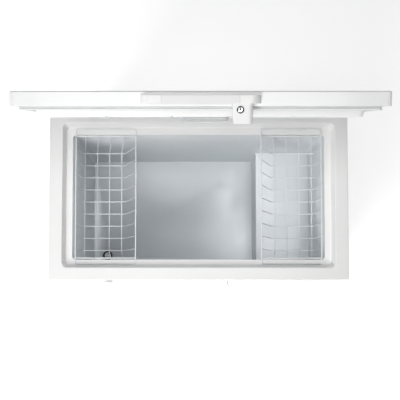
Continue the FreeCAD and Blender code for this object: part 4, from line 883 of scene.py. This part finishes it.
# ---- studio ----
FLOOR_REACH = 40.0
FLOOR_WHITE = rgb(0.93, 0.93, 0.93)
FLOOR_GLOW = 0.55
LIGHT_TARGET = Vector((0.0, 0.0, 0.8))
SKY_FADE = {"From Min": 0.2, "From Max": 0.5, "To Min": 0.52, "To Max": 0.03}  # height, then brightness


def studio_floor():
    mesh = bpy.data.meshes.new("studio_floor")
    corners = [(-FLOOR_REACH, -FLOOR_REACH, 0), (FLOOR_REACH, -FLOOR_REACH, 0),
               (FLOOR_REACH, FLOOR_REACH, 0), (-FLOOR_REACH, FLOOR_REACH, 0)]
    mesh.from_pydata(corners, [], [(0, 1, 2, 3)])
    floor = bpy.data.objects.new("studio_floor", mesh)
    SCENE.collection.objects.link(floor)
    paper = surface("studio_floor", FLOOR_WHITE, 0.8, shade_and_soiling=0, mottle=(0.5, 0.005))
    glow = next(n for n in paper.node_tree.nodes if n.type == "BSDF_PRINCIPLED")
    glow.inputs["Emission Color"].default_value = rgb(1.0, 1.0, 1.0)
    glow.inputs["Emission Strength"].default_value = FLOOR_GLOW
    mesh.materials.append(paper)


def softbox(name, bearing, height, distance, size, power):
    """A square soft light aimed at the freezer. Its bearing (0 front, 90 right) and height are in degrees."""
    lamp = bpy.data.lights.new(name, "AREA")
    lamp.size = size
    lamp.energy = power
    holder = bpy.data.objects.new(name, lamp)
    SCENE.collection.objects.link(holder)
    turn, rise = math.radians(bearing), math.radians(height)
    out = Vector((math.sin(turn) * math.cos(rise), -math.cos(turn) * math.cos(rise), math.sin(rise)))
    holder.location = LIGHT_TARGET + out * distance
    holder.rotation_euler = (-out).to_track_quat("-Z", "Y").to_euler()
    holder.visible_camera = False


def studio_lights():
    """Pale sky low down that fades to dark overhead, a key light at the front left and one above."""
    sky = bpy.data.worlds.new("sky")
    sky.use_nodes = True
    tree = sky.node_tree
    background = tree.nodes["Background"]
    background.inputs["Color"].default_value = rgb(1.0, 1.0, 1.0)
    split = tree.nodes.new("ShaderNodeSeparateXYZ")
    tree.links.new(tree.nodes.new("ShaderNodeTexCoord").outputs["Generated"], split.inputs[0])
    fade = tree.nodes.new("ShaderNodeMapRange")
    tree.links.new(split.outputs["Z"], fade.inputs["Value"])
    for key, number in SKY_FADE.items():
        fade.inputs[key].default_value = number
    tree.links.new(fade.outputs[0], background.inputs["Strength"])
    SCENE.world = sky
    softbox("key_light", bearing=-34.0, height=45.0, distance=3.5, size=1.7, power=78.0)
    softbox("top_light", bearing=0.0, height=89.0, distance=6.0, size=3.0, power=128.0)


CAMERA_PLACE = (-0.0295, -0.3682, 4.1194)
CAMERA_TILT = math.radians(3.5)
CAMERA_SHIFT = (0.0215, 0.0843)
LENS, SENSOR = 72.92, 36.0
VIEW_REACH = 60.0


def camera():
    """High above the front edge, looking almost straight down."""
    data = bpy.data.cameras.new("camera")
    data.lens, data.sensor_width = LENS, SENSOR
    data.shift_x, data.shift_y = CAMERA_SHIFT
    data.clip_end = VIEW_REACH
    holder = bpy.data.objects.new("camera", data)
    SCENE.collection.objects.link(holder)
    holder.location = CAMERA_PLACE
    holder.rotation_euler = (CAMERA_TILT, 0.0, 0.0)
    SCENE.camera = holder


studio_floor()
studio_lights()
camera()
SCENE.view_settings.view_transform = "Standard"

bpy.context.view_layer.update()
